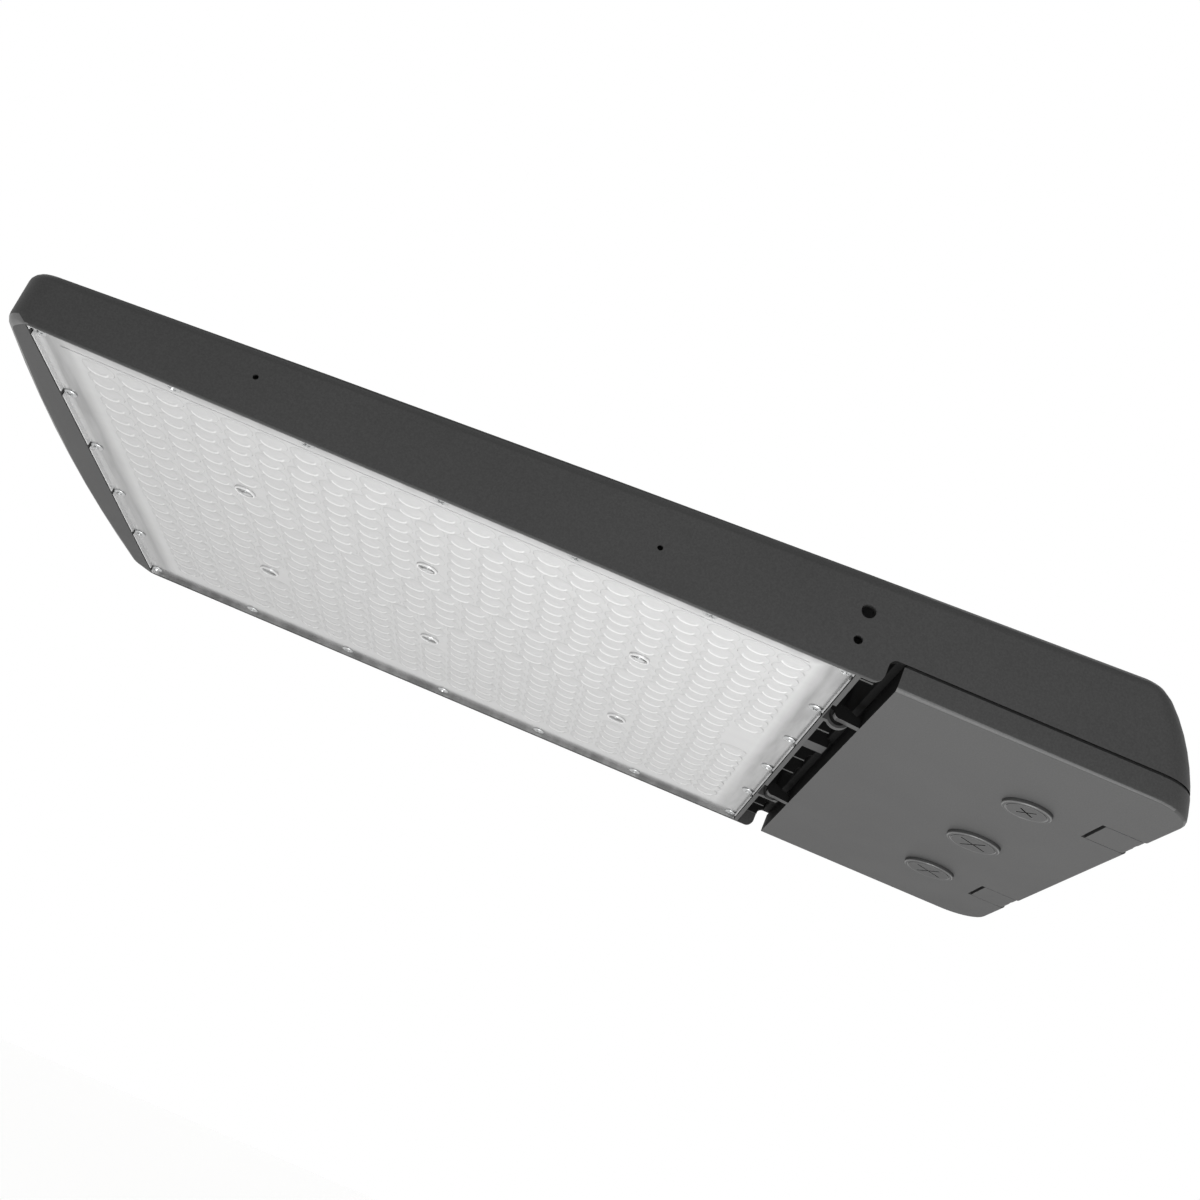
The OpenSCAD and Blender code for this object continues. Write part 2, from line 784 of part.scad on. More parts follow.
// Driver leads run along the compartment's front wall to the duct
cable_x = comp_x0 + driver_in / 2;
module led_cable() {
    color([0.16, 0.16, 0.17]) {
        translate([drop_x, duct_y, board_z])
            cylinder(r = cable_r, h = cable_z - bend_r - board_z, $fn = 24);
        translate([drop_x + bend_r, duct_y, cable_z - bend_r])
            rotate([90, 0, 180])
                rotate_extrude(angle = 90, $fn = 48)
                    translate([bend_r, 0])
                        circle(cable_r, $fn = 24);
        translate([drop_x + bend_r, duct_y, cable_z])
            rotate([0, 90, 0])
                cylinder(r = cable_r, h = cable_x - bend_r - drop_x - bend_r, $fn = 24);
        translate([cable_x - bend_r, duct_y + bend_r, cable_z])
            rotate([0, 0, -90])
                rotate_extrude(angle = 90, $fn = 48)
                    translate([bend_r, 0])
                        circle(cable_r, $fn = 24);
        translate([cable_x, duct_y + bend_r, cable_z])
            rotate([-90, 0, 0])
                cylinder(r = cable_r, h = lead_y - duct_y - 2 * bend_r, $fn = 24);
        translate([cable_x + bend_r, lead_y - bend_r, cable_z])
            rotate([0, 0, 90])
                rotate_extrude(angle = 90, $fn = 48)
                    translate([bend_r, 0])
                        circle(cable_r, $fn = 24);
        translate([cable_x + bend_r, lead_y, cable_z])
            rotate([0, 90, 0])
                cylinder(r = cable_r, h = driver_w / 2 - bend_r, $fn = 24);
        translate([cable_x + driver_w / 2, lead_y - bend_r, cable_z])
            rotate([0, 0, 0])
                rotate_extrude(angle = 90, $fn = 48)
                    translate([bend_r, 0])
                        circle(cable_r, $fn = 24);
        translate([cable_x + driver_w / 2 + bend_r, driver_y1, cable_z])
            rotate([-90, 0, 0])
                cylinder(r = cable_r, h = lead_y - bend_r - driver_y1, $fn = 24);
    }
}

module cable_grommet() {
    color(seal_black)
        difference() {
            union() {
                translate([comp_x0 - 6, duct_y, cable_z])
                    rotate([0, 90, 0])
                        cylinder(r = grommet_r, h = 6);
                translate([comp_x0, duct_y, cable_z])
                    rotate([0, 90, 0])
                        cylinder(r1 = flange_r, r2 = cable_r + 0.8, h = 2.2);
            }
            translate([comp_x0 - 10, duct_y, cable_z])
                rotate([0, 90, 0])
                    cylinder(r = cable_r + turn_fit, h = 20);
        }
}

module driver() {
    color([0.78, 0.78, 0.8])
        difference() {
            union() {
                translate([driver_x0, driver_y0, boss_z - driver_h])
                    cube([driver_w, driver_l, driver_h]);
                translate([driver_x0, driver_y0 - ear_l, boss_z - ear_t])
                    cube([driver_w, driver_l + 2 * ear_l, ear_t]);
            }
            for (p = driver_spots)
                translate([p[0], p[1], 0])
                    cylinder(r = lens_hole_r, h = 2 * top_z, $fn = 24);
        }
}

// Screw under a boss in the compartment, through a tab of thickness t
module boss_screw(p, t) {
    translate([p[0], p[1], boss_z - t - head_h])
        pan_screw(t + screw_grip);
}

module driver_screws() {
    color(steel)
        for (p = driver_spots)
            boss_screw(p, ear_t);
}

module surge_protector() {
    color([0.12, 0.12, 0.13])
        difference() {
            union() {
                translate([surge_x0, surge_y0, boss_z - surge[2]])
                    cube([surge[0], surge[1], surge[2]]);
                translate([surge_x0 + surge[0] / 2 - 6, surge_y0 - ear_l, boss_z - ear_t])
                    cube([12, ear_l + 1, ear_t]);
            }
            translate([surge_spot[0], surge_spot[1], 0])
                cylinder(r = lens_hole_r, h = 2 * top_z, $fn = 24);
        }
}

module surge_screw() {
    color(steel)
        boss_screw(surge_spot, ear_t);
}

module terminal_block() {
    pole = block[1] / 3;
    color([0.92, 0.92, 0.88])
        difference() {
            union() {
                translate([block_x0, block_y0, boss_z - block[2]])
                    cube(block);
                translate([block_x0 + block[0] / 2 - 5, block_y0 - 10, boss_z - 3])
                    cube([10, block[1] + 20, 3]);
            }
            for (i = [0:2]) {
                translate([block_x0 + block[0] - 4, block_y0 + (i + 0.5) * pole, boss_z - block[2] / 2])
                    rotate([0, 90, 0])
                        cylinder(r = 2.2, h = 8, $fn = 24);
                translate([block_x0 + block[0] / 2, block_y0 + (i + 0.5) * pole, boss_z - block[2] - over])
                    cylinder(r = 2.6, h = over + 5, $fn = 24);
            }
            for (p = block_spots)
                translate([p[0], p[1], 0])
                    cylinder(r = lens_hole_r, h = 2 * top_z, $fn = 24);
        }
}

module terminal_screws() {
    color(steel)
        for (p = block_spots)
            boss_screw(p, 3);
}

module ground_screw() {
    color([0.2, 0.55, 0.28])
        translate([ground_spot[0], ground_spot[1], boss_z - 3.4]) {
            cylinder(r = 4.4, h = 3.4, $fn = 6);
            cylinder(r = screw_r, h = 3.4 + screw_grip, $fn = 24);
        }
}

// One lead in three straight runs with round bends: out along Y, across X, back along Y
module lead(x0, y0, x1, y1, y_far, z) {
    b = 3 * lead_r;
    sy0 = y_far > y0 ? 1 : -1;
    translate([x0, min(y0, y_far - b), z])
        rotate([-90, 0, 0])
            cylinder(r = lead_r, h = y_far - b - y0, $fn = 24);
    translate([x0 + b, y_far - b, z])
        rotate([0, 0, 90])
            rotate_extrude(angle = 90, $fn = 48)
                translate([b, 0])
                    circle(lead_r, $fn = 24);
    translate([x0 + b, y_far, z])
        rotate([0, 90, 0])
            cylinder(r = lead_r, h = x1 - x0 - 2 * b, $fn = 24);
    translate([x1 - b, y_far - b, z])
        rotate_extrude(angle = 90, $fn = 48)
            translate([b, 0])
                circle(lead_r, $fn = 24);
    translate([x1, y1, z])
        rotate([-90, 0, 0])
            cylinder(r = lead_r, h = y_far - b - y1, $fn = 24);
}

// Mains leads from the driver's end to the terminal block's near face
module driver_leads() {
    for (i = [0:1])
        color(i == 0 ? [0.08, 0.08, 0.08] : [0.9, 0.9, 0.9])
            lead(driver_x0 + driver_w - 10 + 5 * i, driver_y1, block_x0 + 14 - 8 * i, block_y0 + block[1],
                driver_y1 + 17 - 5 * i, boss_z - block[2] + 4);
}

// Leads from the surge protector's end round to the terminal block
module surge_leads() {
    for (i = [0:1])
        color(i == 0 ? [0.08, 0.08, 0.08] : [0.9, 0.9, 0.9])
            lead(surge_x0 + surge[0] - 10 + 5 * i, surge_y0 + surge[1], block_x0 + 18 - 16 * i,
                block_y0 + block[1], surge_y0 + surge[1] + 17 - 5 * i, boss_z - block[2] + 9);
}

// Door without its cuts: the bottom of the outer form, with a rounder edge
module door_form() {
    r = front_corner_r;
    intersection() {
        hull() {
            for (x = [door_x0 - r, x_peak - r], s = [-1, 1])
                stone(x, s * (body_w / 2 - r), r, rise(x), top_edge_r, door_edge_r);
            rear_slices(0, 0, rear_edge_r, top_edge_r);
        }
        translate([door_x0, -body_w, 0])
            cube([body_l, 2 * body_w, door_top]);
    }
}

// Flat outline with square front corners and round rear ones
module outline(x0, x1, w, r) {
    translate([x0, -w / 2])
        square([x1 - x0 - r, w]);
    translate([x0, -w / 2 + r])
        square([x1 - x0, w - 2 * r]);
    for (s = [-1, 1])
        translate([x1 - r, s * (w / 2 - r)])
            circle(r);
}

// Hinge arm seen from the side: a round end and a bar that runs down to the door
module hinge_arm(y) {
    translate([0, y + arm_t / 2, 0])
        rotate([90, 0, 0])
            linear_extrude(arm_t) {
                translate([hinge_x, hinge_z])
                    circle(arm_r);
                polygon([[hinge_x - 1, hinge_z - arm_r + 0.2], [hinge_x + 1.6, hinge_z + arm_r - 0.4],
                    [door_x0 + 2, rim_z + floor_t + 0.6], [door_x0 + 2, rim_z + 0.1]]);
            }
}

// Cut in the door for a latch lever, and the bosses that hold its pin
module latch_cut(y) {
    w = latch_w + 2 * latch_gap;
    translate([tab_x0 - latch_slot, y - w / 2, -over])
        cube([latch_slot + latch_l + 5, w, rim_z + floor_t + over + 0.1]);
    translate([latch_x - barrel_r - 0.5, y - w / 2, -over])
        cube([10, w, latch_z + barrel_r + 0.5 + over]);
}

module latch_bosses(y) {
    for (s = [-1, 1])
        translate([latch_x - 3.6, y + s * (latch_w / 2 + latch_gap + 2) - 2, rim_z + 1])
            cube([5, 4, 7]);
}

plug_set = [[-plug_y, small_plug_r], [0, large_plug_r], [plug_y, large_plug_r]];

module door() {
    color(coat)
        difference() {
            union() {
                difference() {
                    door_form();
                    translate([0, 0, rim_z + floor_t])
                        linear_extrude(door_h)
                            outline(pocket_x0, pocket_x1, pocket_w, pocket_r);
                }
                for (y = arm_spots)
                    hinge_arm(y);
                for (y = latch_spots)
                    latch_bosses(y);
            }
            for (y = latch_spots) {
                latch_cut(y);
                translate([latch_x, y - latch_w / 2 - 5, latch_z])
                    rotate([-90, 0, 0])
                        cylinder(r = latch_pin_r + 0.02, h = latch_w + 10);
            }
            for (y = arm_spots)
                translate([hinge_x, y - arm_t / 2 + 1.5, hinge_z])
                    rotate([-90, 0, 0])
                        cylinder(r = hinge_pin_r - 0.8, h = 2 * arm_t);
            for (p = plug_set)
                translate([plug_x, p[0], -over]) {
                    cylinder(r = p[1] - plug_lap, h = 20);
                    cylinder(r = p[1] - 1, h = rim_z + plug_seal_t + over);
                }
        }
}

module door_seal() {
    inset = (wall_t - seal_w) / 2 + 0.2;
    color(seal_black)
        translate([0, 0, door_top])
            linear_extrude(seal_t)
                difference() {
                    outline(door_x0 + inset, x_rear - rear_in - inset, body_w - 2 * inset, seat_r - inset);
                    outline(door_x0 + inset + seal_w, x_rear - rear_in - inset - seal_w,
                        body_w - 2 * inset - 2 * seal_w, seat_r - inset - seal_w);
                }
}

// Steel pin that is pressed into the arm and turns in the hook
module hinge_pins() {
    color(steel)
        for (y = arm_spots)
            translate([hinge_x, y, hinge_z])
                rotate([-90, 0, 0]) {
                    translate([0, 0, -arm_t / 2 + 1.6])
                        cylinder(r = hinge_pin_r - 0.82, h = arm_t - 1.2);
                    translate([0, 0, arm_t / 2 + 0.1])
                        cylinder(r = hinge_pin_r, h = hook_w + hook_gap);
                }
}

// Screw plug with a crossed slot in its rounded head
module plug(y, r, slot, turn) {
    dish = 0.6;
    lip = 1.5;
    round_r = 1.2;
    rim_arc = [for (i = [0:4]) let (a = 90 * i / 4)
        [r - round_r + round_r * sin(a), round_r - round_r * cos(a)]];
    color(coat)
        translate([plug_x, y, 0])
            difference() {
                union() {
                    rotate_extrude()
                        polygon(concat([[0, dish], [r - round_r - lip, dish], [r - round_r - lip + dish, 0]],
                            rim_arc, [[r, rim_z], [0, rim_z]]));
                    cylinder(r = r - plug_lap - 0.15, h = rim_z + floor_t + 5);
                }
                translate([0, 0, rim_z + 1.5])
                    cylinder(r = r - plug_lap - 2.5, h = 20);
                for (a = [turn, turn + 90])
                    rotate(a)
                        translate([-slot / 2, -0.6, -over])
                            cube([slot, 1.2, over + dish + 0.9]);
            }
}

module plug_near() { plug(-plug_y, small_plug_r, 13, 42); }
module plug_middle() { plug(0, large_plug_r, 21, 31); }
module plug_far() { plug(plug_y, large_plug_r, 21, 31); }

module plug_seals() {
    color(seal_black)
        for (p = plug_set)
            translate([plug_x, p[0], rim_z])
                difference() {
                    cylinder(r = p[1] - 1.1, h = plug_seal_t);
                    translate([0, 0, -over])
                        cylinder(r = p[1] - plug_lap + 0.05, h = 5);
                }
}

// Latch lever: a flat tab and a barrel that follow the door's edge, and a hook inside
module latch_lever(y) {
    color(coat)
        difference() {
            union() {
                intersection() {
                    door_form();
                    union() {
                        translate([tab_x0, y - latch_w / 2, rim_z])
                            cube([latch_x - tab_x0, latch_w, latch_t]);
                        translate([latch_x, y - latch_w / 2, latch_z])
                            rotate([-90, 0, 0])
                                cylinder(r = barrel_r, h = latch_w);
                    }
                }
                translate([arm_x, y - latch_w / 5, rim_z + 1])
                    cube([2.8, latch_w / 2.5, nose_top - 1 - rim_z]);
                translate([arm_x, y - latch_w / 5, nose_top - 3.2])
                    cube([nose_tip - arm_x, latch_w / 2.5, 3.2]);
            }
            translate([latch_x, y - latch_w, latch_z])
                rotate([-90, 0, 0])
                    cylinder(r = latch_pin_r + turn_fit, h = 2 * latch_w);
            translate([latch_x - barrel_r - over, y - spring_l / 2, latch_z - 2.9])
                cube([2 * barrel_r + 2 * over, spring_l, 3 * barrel_r]);
        }
}

module latch_lever_near() { latch_lever(-latch_y); }
module latch_lever_far() { latch_lever(latch_y); }

module latch_pins() {
    color(steel)
        for (y = latch_spots)
            translate([latch_x, y - latch_w / 2 - latch_gap - 3.6, latch_z])
                rotate([-90, 0, 0])
                    cylinder(r = latch_pin_r, h = latch_w + 2 * latch_gap + 7.2);
}

module latch_springs() {
    color(steel)
        for (y = latch_spots)
            translate([latch_x, y - spring_l / 2 + 0.3, latch_z])
                rotate([-90, 0, 0])
                    difference() {
                        cylinder(r = latch_pin_r + 1, h = spring_l - 0.6);
                        translate([0, 0, -over])
                            cylinder(r = latch_pin_r + 0.1, h = spring_l + over);
                    }
}

housing();
lens_plate();
lens_gasket();
lens_edge_screws();
lens_field_screws();
led_board_1();
led_board_2();
led_board_3();
led_board_4();
led_board_5();
led_board_6();
led_connector();
led_cable();
cable_grommet();
driver();
driver_screws();
surge_protector();
surge_screw();
terminal_block();
terminal_screws();
ground_screw();
driver_leads();
surge_leads();
door();
door_seal();
hinge_pins();
plug_near();
plug_middle();
plug_far();
plug_seals();
latch_lever_near();
latch_lever_far();
latch_pins();
latch_springs();
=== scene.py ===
# Shoebox area light: a die-cast, powder-coated housing with a clear moulded optic over white
# LED boards, and a hinged driver door with round screw plugs and two latches.
# Metres throughout. X runs from the lens end to the door end, Z is up, light leaves along -Z.
import math

import bmesh
import bpy
from mathutils import Matrix, Vector


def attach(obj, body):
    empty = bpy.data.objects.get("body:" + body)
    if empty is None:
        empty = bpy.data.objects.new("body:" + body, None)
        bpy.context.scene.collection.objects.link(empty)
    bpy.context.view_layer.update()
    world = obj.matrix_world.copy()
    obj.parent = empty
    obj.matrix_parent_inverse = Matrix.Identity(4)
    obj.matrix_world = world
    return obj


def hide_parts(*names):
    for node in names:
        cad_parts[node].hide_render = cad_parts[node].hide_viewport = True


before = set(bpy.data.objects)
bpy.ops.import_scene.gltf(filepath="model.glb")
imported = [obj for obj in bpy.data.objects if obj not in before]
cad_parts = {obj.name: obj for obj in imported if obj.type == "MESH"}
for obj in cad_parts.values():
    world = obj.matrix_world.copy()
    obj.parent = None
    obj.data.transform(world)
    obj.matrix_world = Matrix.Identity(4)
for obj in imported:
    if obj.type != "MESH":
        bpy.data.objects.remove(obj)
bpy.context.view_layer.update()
scene = bpy.context.scene
MM = 0.001


# Camera

# Where the photograph was taken from, solved from the square grid of the lens screws
CAMERA_PLACE = (0.04927, -0.96946, -0.27483)
CAMERA_RIGHT = Vector((0.92102158, -0.11170992, 0.37314896))
CAMERA_DOWN = Vector((0.38927688, 0.29723494, -0.87184569))
CAMERA_AHEAD = Vector((-0.01351910, 0.94824695, 0.31724589))


def set_camera():
    lens = bpy.data.cameras.new("photo_camera")
    lens.sensor_width = 36.0
    lens.lens = 51.10
    lens.shift_x = -0.0407
    lens.shift_y = 0.0178
    lens.clip_start = 0.02
    camera = bpy.data.objects.new("photo_camera", lens)
    scene.collection.objects.link(camera)
    turn = Matrix((CAMERA_RIGHT, -CAMERA_DOWN, -CAMERA_AHEAD)).transposed()
    camera.matrix_world = Matrix.Translation(CAMERA_PLACE) @ turn.to_4x4()
    scene.camera = camera


set_camera()


# Node and colour helpers

def linear(colour):
    """Linear RGBA of an sRGB hex colour such as 4a4b4c."""
    shares = [int(colour[i:i + 2], 16) / 255 for i in (0, 2, 4)]
    return [s / 12.92 if s <= 0.04045 else ((s + 0.055) / 1.055) ** 2.4 for s in shares] + [1.0]


def add(tree, kind, inputs=None, **settings):
    """A new node with its settings, its input values and the links into it."""
    made = tree.nodes.new(kind)
    for name, value in settings.items():
        setattr(made, name, value)
    for key, value in (inputs or {}).items():
        if isinstance(value, bpy.types.NodeSocket):
            tree.links.new(value, made.inputs[key])
        else:
            made.inputs[key].default_value = value
    return made


def start_material(name, **surface):
    """A material with its Principled shader's own values, and the point on the piece in metres."""
    material = bpy.data.materials.new(name)
    material.use_nodes = True
    tree = material.node_tree
    shader = tree.nodes["Principled BSDF"]
    for key, value in surface.items():
        shader.inputs[key.replace("_", " ")].default_value = value
    place = add(tree, "ShaderNodeTexCoord").outputs["Object"]
    return material, tree, shader, place


# Index of the colour sockets of a Mix node that is set to colours
MIX_A, MIX_B, MIX_OUT = 6, 7, 2


# Materials

def powder_coated_casting(name, dark, light, gloss, rough):
    """Die-cast aluminium under a dark grey, finely textured polyester powder coat: satin, with
    the grain of the powder and broad, faint changes of tone where the coat is thicker. Recesses
    get painted shade: ambient occlusion darkens their colour, and they are made duller. The
    near-black copy of this coat is painted shade, and its lighter copies are painted highlights
    on rounded edges, the front corners and the plugs' shoulders, the last also glossier."""
    material, tree, shader, place = start_material(name, IOR=1.45, Specular_IOR_Level=gloss)
    # Thickness of the coat changes over some 60 mm
    cloud = add(tree, "ShaderNodeTexNoise", {"Vector": place, "Scale": 16.0, "Detail": 3.0})
    # Powder grain is about 0.4 mm, drawn at 0.9 mm so that it shows
    grain = add(tree, "ShaderNodeTexNoise", {"Vector": place, "Scale": 1100.0, "Detail": 2.0})
    tone = add(tree, "ShaderNodeMix", {0: cloud.outputs["Fac"], MIX_A: linear(dark),
                                       MIX_B: linear(light)}, data_type="RGBA")
    fleck = add(tree, "ShaderNodeMapRange", {"Value": grain.outputs["Fac"], "From Min": 0.3,
                                             "From Max": 0.7, "To Min": 0.9, "To Max": 1.1})
    # Painted shade: the colour darkens, down to a quarter, in recesses narrower than some 6 mm
    shade_occlusion = add(tree, "ShaderNodeAmbientOcclusion", {"Distance": 6 * MM}, samples=6)
    painted_shade_share = add(tree, "ShaderNodeMapRange", {"Value": shade_occlusion.outputs["AO"], "From Min": 0.15,
                                             "From Max": 0.6, "To Min": 0.25, "To Max": 1.0})
    share = add(tree, "ShaderNodeMath", {0: fleck.outputs["Result"], 1: painted_shade_share.outputs["Result"]},
                operation="MULTIPLY")
    colour = add(tree, "ShaderNodeVectorMath", {0: tone.outputs[MIX_OUT],
                                                "Scale": share.outputs[0]}, operation="SCALE")
    sheen = add(tree, "ShaderNodeMapRange", {"Value": cloud.outputs["Fac"], "From Min": 0.3,
                                             "From Max": 0.7, "To Min": rough - 0.03,
                                             "To Max": rough + 0.03})
    dull = add(tree, "ShaderNodeMapRange", {"Value": painted_shade_share.outputs["Result"], "From Min": 0.25,
                                            "To Min": 0.8, "To Max": sheen.outputs["Result"]})
    relief = add(tree, "ShaderNodeBump", {"Height": grain.outputs["Fac"], "Strength": 0.25,
                                          "Distance": 0.05 * MM})
    tree.links.new(colour.outputs[0], shader.inputs["Base Color"])
    tree.links.new(dull.outputs["Result"], shader.inputs["Roughness"])
    tree.links.new(relief.outputs["Normal"], shader.inputs["Normal"])
    return material


def moulded_polycarbonate():
    """Clear UV-stable polycarbonate, injection moulded with a fine diffusing skin: milky at a
    low angle and glossy. The plain border is painted grey as the shade of the dark metal
    behind it, with a painted highlight along its front edge. The optic's crests are painted
    white as highlights and the valleys between its cells grey as shade."""
    material, tree, shader, place = start_material("moulded_polycarbonate", IOR=1.585,
                                                   Transmission_Weight=0.3)
    # Flow lines of the melt, some 8 mm apart and drawn out along X
    drawn = add(tree, "ShaderNodeMapping", {"Vector": place, "Scale": (6.0, 120.0, 120.0)})
    flow = add(tree, "ShaderNodeTexNoise", {"Vector": drawn.outputs["Vector"], "Scale": 1.0,
                                            "Detail": 2.0})
    field = add(tree, "ShaderNodeMix", {0: flow.outputs["Fac"], MIX_A: linear("d3d3d3"),
                                        MIX_B: linear("dfdfdf")}, data_type="RGBA")
    # Height share that the optic's mesh carries: 1 on a crest, -1 in a valley. Crests are
    #     # painted white as highlights and valleys grey as shade
    ridge = add(tree, "ShaderNodeAttribute", attribute_name="ridge")
    for start, end, colour in ((0.1, 0.6, "ffffff"), (-0.15, -0.75, "808080")):
        share = add(tree, "ShaderNodeMapRange", {"Value": ridge.outputs["Fac"], "From Min": start,
                                                 "From Max": end})
        field = add(tree, "ShaderNodeMix", {0: share.outputs["Result"],
                                            MIX_A: field.outputs[MIX_OUT],
                                            MIX_B: linear(colour)}, data_type="RGBA")
    # Painted shade of the border, grey for the dark gasket and metal behind it, in streaks and
    #     # clouds some 20 mm wide, drawn out along the lens edge
    long = add(tree, "ShaderNodeMapping", {"Vector": place, "Scale": (110.0, 14.0, 14.0)})
    streak = add(tree, "ShaderNodeTexNoise", {"Vector": long.outputs["Vector"], "Scale": 1.0,
                                              "Detail": 3.0})
    cloud = add(tree, "ShaderNodeMapRange", {"Value": streak.outputs["Fac"], "From Min": 0.35,
                                             "From Max": 0.65})
    border = add(tree, "ShaderNodeMix", {0: cloud.outputs["Result"], MIX_A: linear("909090"),
                                         MIX_B: linear("b4b4b4")}, data_type="RGBA")
    # Painted highlight: the front 4 mm are painted lighter
    axes = add(tree, "ShaderNodeSeparateXYZ", {"Vector": place})
    front_edge_highlight = add(tree, "ShaderNodeMapRange", {"Value": axes.outputs["X"], "From Min": -0.294,
                                            "From Max": -0.2965})
    border = add(tree, "ShaderNodeMix", {0: front_edge_highlight.outputs["Result"],
                                         MIX_A: border.outputs[MIX_OUT],
                                         MIX_B: linear("e4e4e4")}, data_type="RGBA")
    # The border is 10 to 11 mm wide at the ends and 3 mm along the sides, and passes into the
    # field over 8 to 13 mm
    across = add(tree, "ShaderNodeMath", {0: axes.outputs["Y"]}, operation="ABSOLUTE")
    inner = 1.0
    for value, start, end in ((axes.outputs["X"], -0.288, -0.279),
                              (axes.outputs["X"], 0.1305, 0.1225),
                              (across.outputs[0], 0.184, 0.171)):
        reach = add(tree, "ShaderNodeMapRange", {"Value": value, "From Min": start,
                                                 "From Max": end})
        inner = add(tree, "ShaderNodeMath", {0: inner, 1: reach.outputs["Result"]},
                    operation="MINIMUM").outputs[0]
    tone = add(tree, "ShaderNodeMix", {0: inner, MIX_A: border.outputs[MIX_OUT],
                                       MIX_B: field.outputs[MIX_OUT]}, data_type="RGBA")
    gloss = add(tree, "ShaderNodeMapRange", {"Value": flow.outputs["Fac"], "From Min": 0.3,
                                             "From Max": 0.7, "To Min": 0.12, "To Max": 0.2})
    tree.links.new(tone.outputs[MIX_OUT], shader.inputs["Base Color"])
    tree.links.new(gloss.outputs["Result"], shader.inputs["Roughness"])
    return material


def stainless_steel():
    """Cold-headed stainless steel: bright, with a fine brushed haze and faint darker stains."""
    material, tree, shader, place = start_material("stainless_steel", Metallic=1.0)
    # Haze of about 0.6 mm
    haze = add(tree, "ShaderNodeTexNoise", {"Vector": place, "Scale": 1600.0, "Detail": 2.0})
    tone = add(tree, "ShaderNodeMix", {0: haze.outputs["Fac"], MIX_A: linear("a2a3a4"),
                                       MIX_B: linear("cccdcd")}, data_type="RGBA")
    gloss = add(tree, "ShaderNodeMapRange", {"Value": haze.outputs["Fac"], "To Min": 0.26,
                                             "To Max": 0.42})
    tree.links.new(tone.outputs[MIX_OUT], shader.inputs["Base Color"])
    tree.links.new(gloss.outputs["Result"], shader.inputs["Roughness"])
    return material


def silicone_rubber():
    """Compression-moulded silicone: black, matte and slightly dusty."""
    material, tree, shader, place = start_material("silicone_rubber", Roughness=0.75)
    dust = add(tree, "ShaderNodeTexNoise", {"Vector": place, "Scale": 220.0, "Detail": 4.0})
    tone = add(tree, "ShaderNodeMix", {0: dust.outputs["Fac"], MIX_A: linear("121212"),
                                       MIX_B: linear("222222")}, data_type="RGBA")
    relief = add(tree, "ShaderNodeBump", {"Height": dust.outputs["Fac"], "Strength": 0.3,
                                          "Distance": 0.1 * MM})
    tree.links.new(tone.outputs[MIX_OUT], shader.inputs["Base Color"])
    tree.links.new(relief.outputs["Normal"], shader.inputs["Normal"])
    return material


def white_solder_mask():
    """Aluminium-core LED board under white solder mask: smooth and half gloss, with the raised
    edges of the copper tracks, 7 mm wide, under the mask."""
    material, tree, shader, place = start_material("white_solder_mask", Roughness=0.4)
    tracks = add(tree, "ShaderNodeTexBrick", {"Vector": place, "Scale": 1.0, "Mortar Size": 0.0005,
                                              "Brick Width": 18.1 * MM, "Row Height": 7.4 * MM,
                                              "Color1": linear("f4f4f1"),
                                              "Color2": linear("f0f0ec"),
                                              "Mortar": linear("e2e3df")})
    relief = add(tree, "ShaderNodeBump", {"Height": tracks.outputs["Fac"], "Strength": 0.4,
                                          "Distance": 0.1 * MM}, invert=True)
    tree.links.new(tracks.outputs["Color"], shader.inputs["Base Color"])
    tree.links.new(relief.outputs["Normal"], shader.inputs["Normal"])
    return material


def moulded_plastic(name, dark, light, rough):
    """Injection-moulded plastic with the fine spark-eroded skin of its mould, 0.5 mm grain."""
    material, tree, shader, place = start_material(name, Roughness=rough, IOR=1.5)
    skin = add(tree, "ShaderNodeTexNoise", {"Vector": place, "Scale": 2000.0, "Detail": 2.0})
    cloud = add(tree, "ShaderNodeTexNoise", {"Vector": place, "Scale": 40.0, "Detail": 2.0})
    tone = add(tree, "ShaderNodeMix", {0: cloud.outputs["Fac"], MIX_A: linear(dark),
                                       MIX_B: linear(light)}, data_type="RGBA")
    relief = add(tree, "ShaderNodeBump", {"Height": skin.outputs["Fac"], "Strength": 0.3,
                                          "Distance": 0.05 * MM})
    tree.links.new(tone.outputs[MIX_OUT], shader.inputs["Base Color"])
    tree.links.new(relief.outputs["Normal"], shader.inputs["Normal"])
    return material


def extruded_aluminium():
    """Extruded and etched aluminium case: satin, with die lines about 1 mm apart along Y."""
    material, tree, shader, place = start_material("extruded_aluminium", Metallic=1.0)
    drawn = add(tree, "ShaderNodeMapping", {"Vector": place, "Scale": (900.0, 9.0, 900.0)})
    lines = add(tree, "ShaderNodeTexNoise", {"Vector": drawn.outputs["Vector"], "Scale": 1.0,
                                             "Detail": 3.0})
    tone = add(tree, "ShaderNodeMix", {0: lines.outputs["Fac"], MIX_A: linear("a6a7a9"),
                                       MIX_B: linear("c6c7c9")}, data_type="RGBA")
    gloss = add(tree, "ShaderNodeMapRange", {"Value": lines.outputs["Fac"], "To Min": 0.3,
                                             "To Max": 0.5})
    tree.links.new(tone.outputs[MIX_OUT], shader.inputs["Base Color"])
    tree.links.new(gloss.outputs["Result"], shader.inputs["Roughness"])
    return material


COAT = powder_coated_casting("powder_coated_cast_aluminium", "474747", "4f4f4f", 0.14, 0.5)
# Near-black copy: painted shade in the open gap, beside the hinge arms and in the plugs' slots
SHADE_PAINTED_COAT = powder_coated_casting("thin_powder_in_recess", "141414", "1c1c1c", 0.06, 0.7)
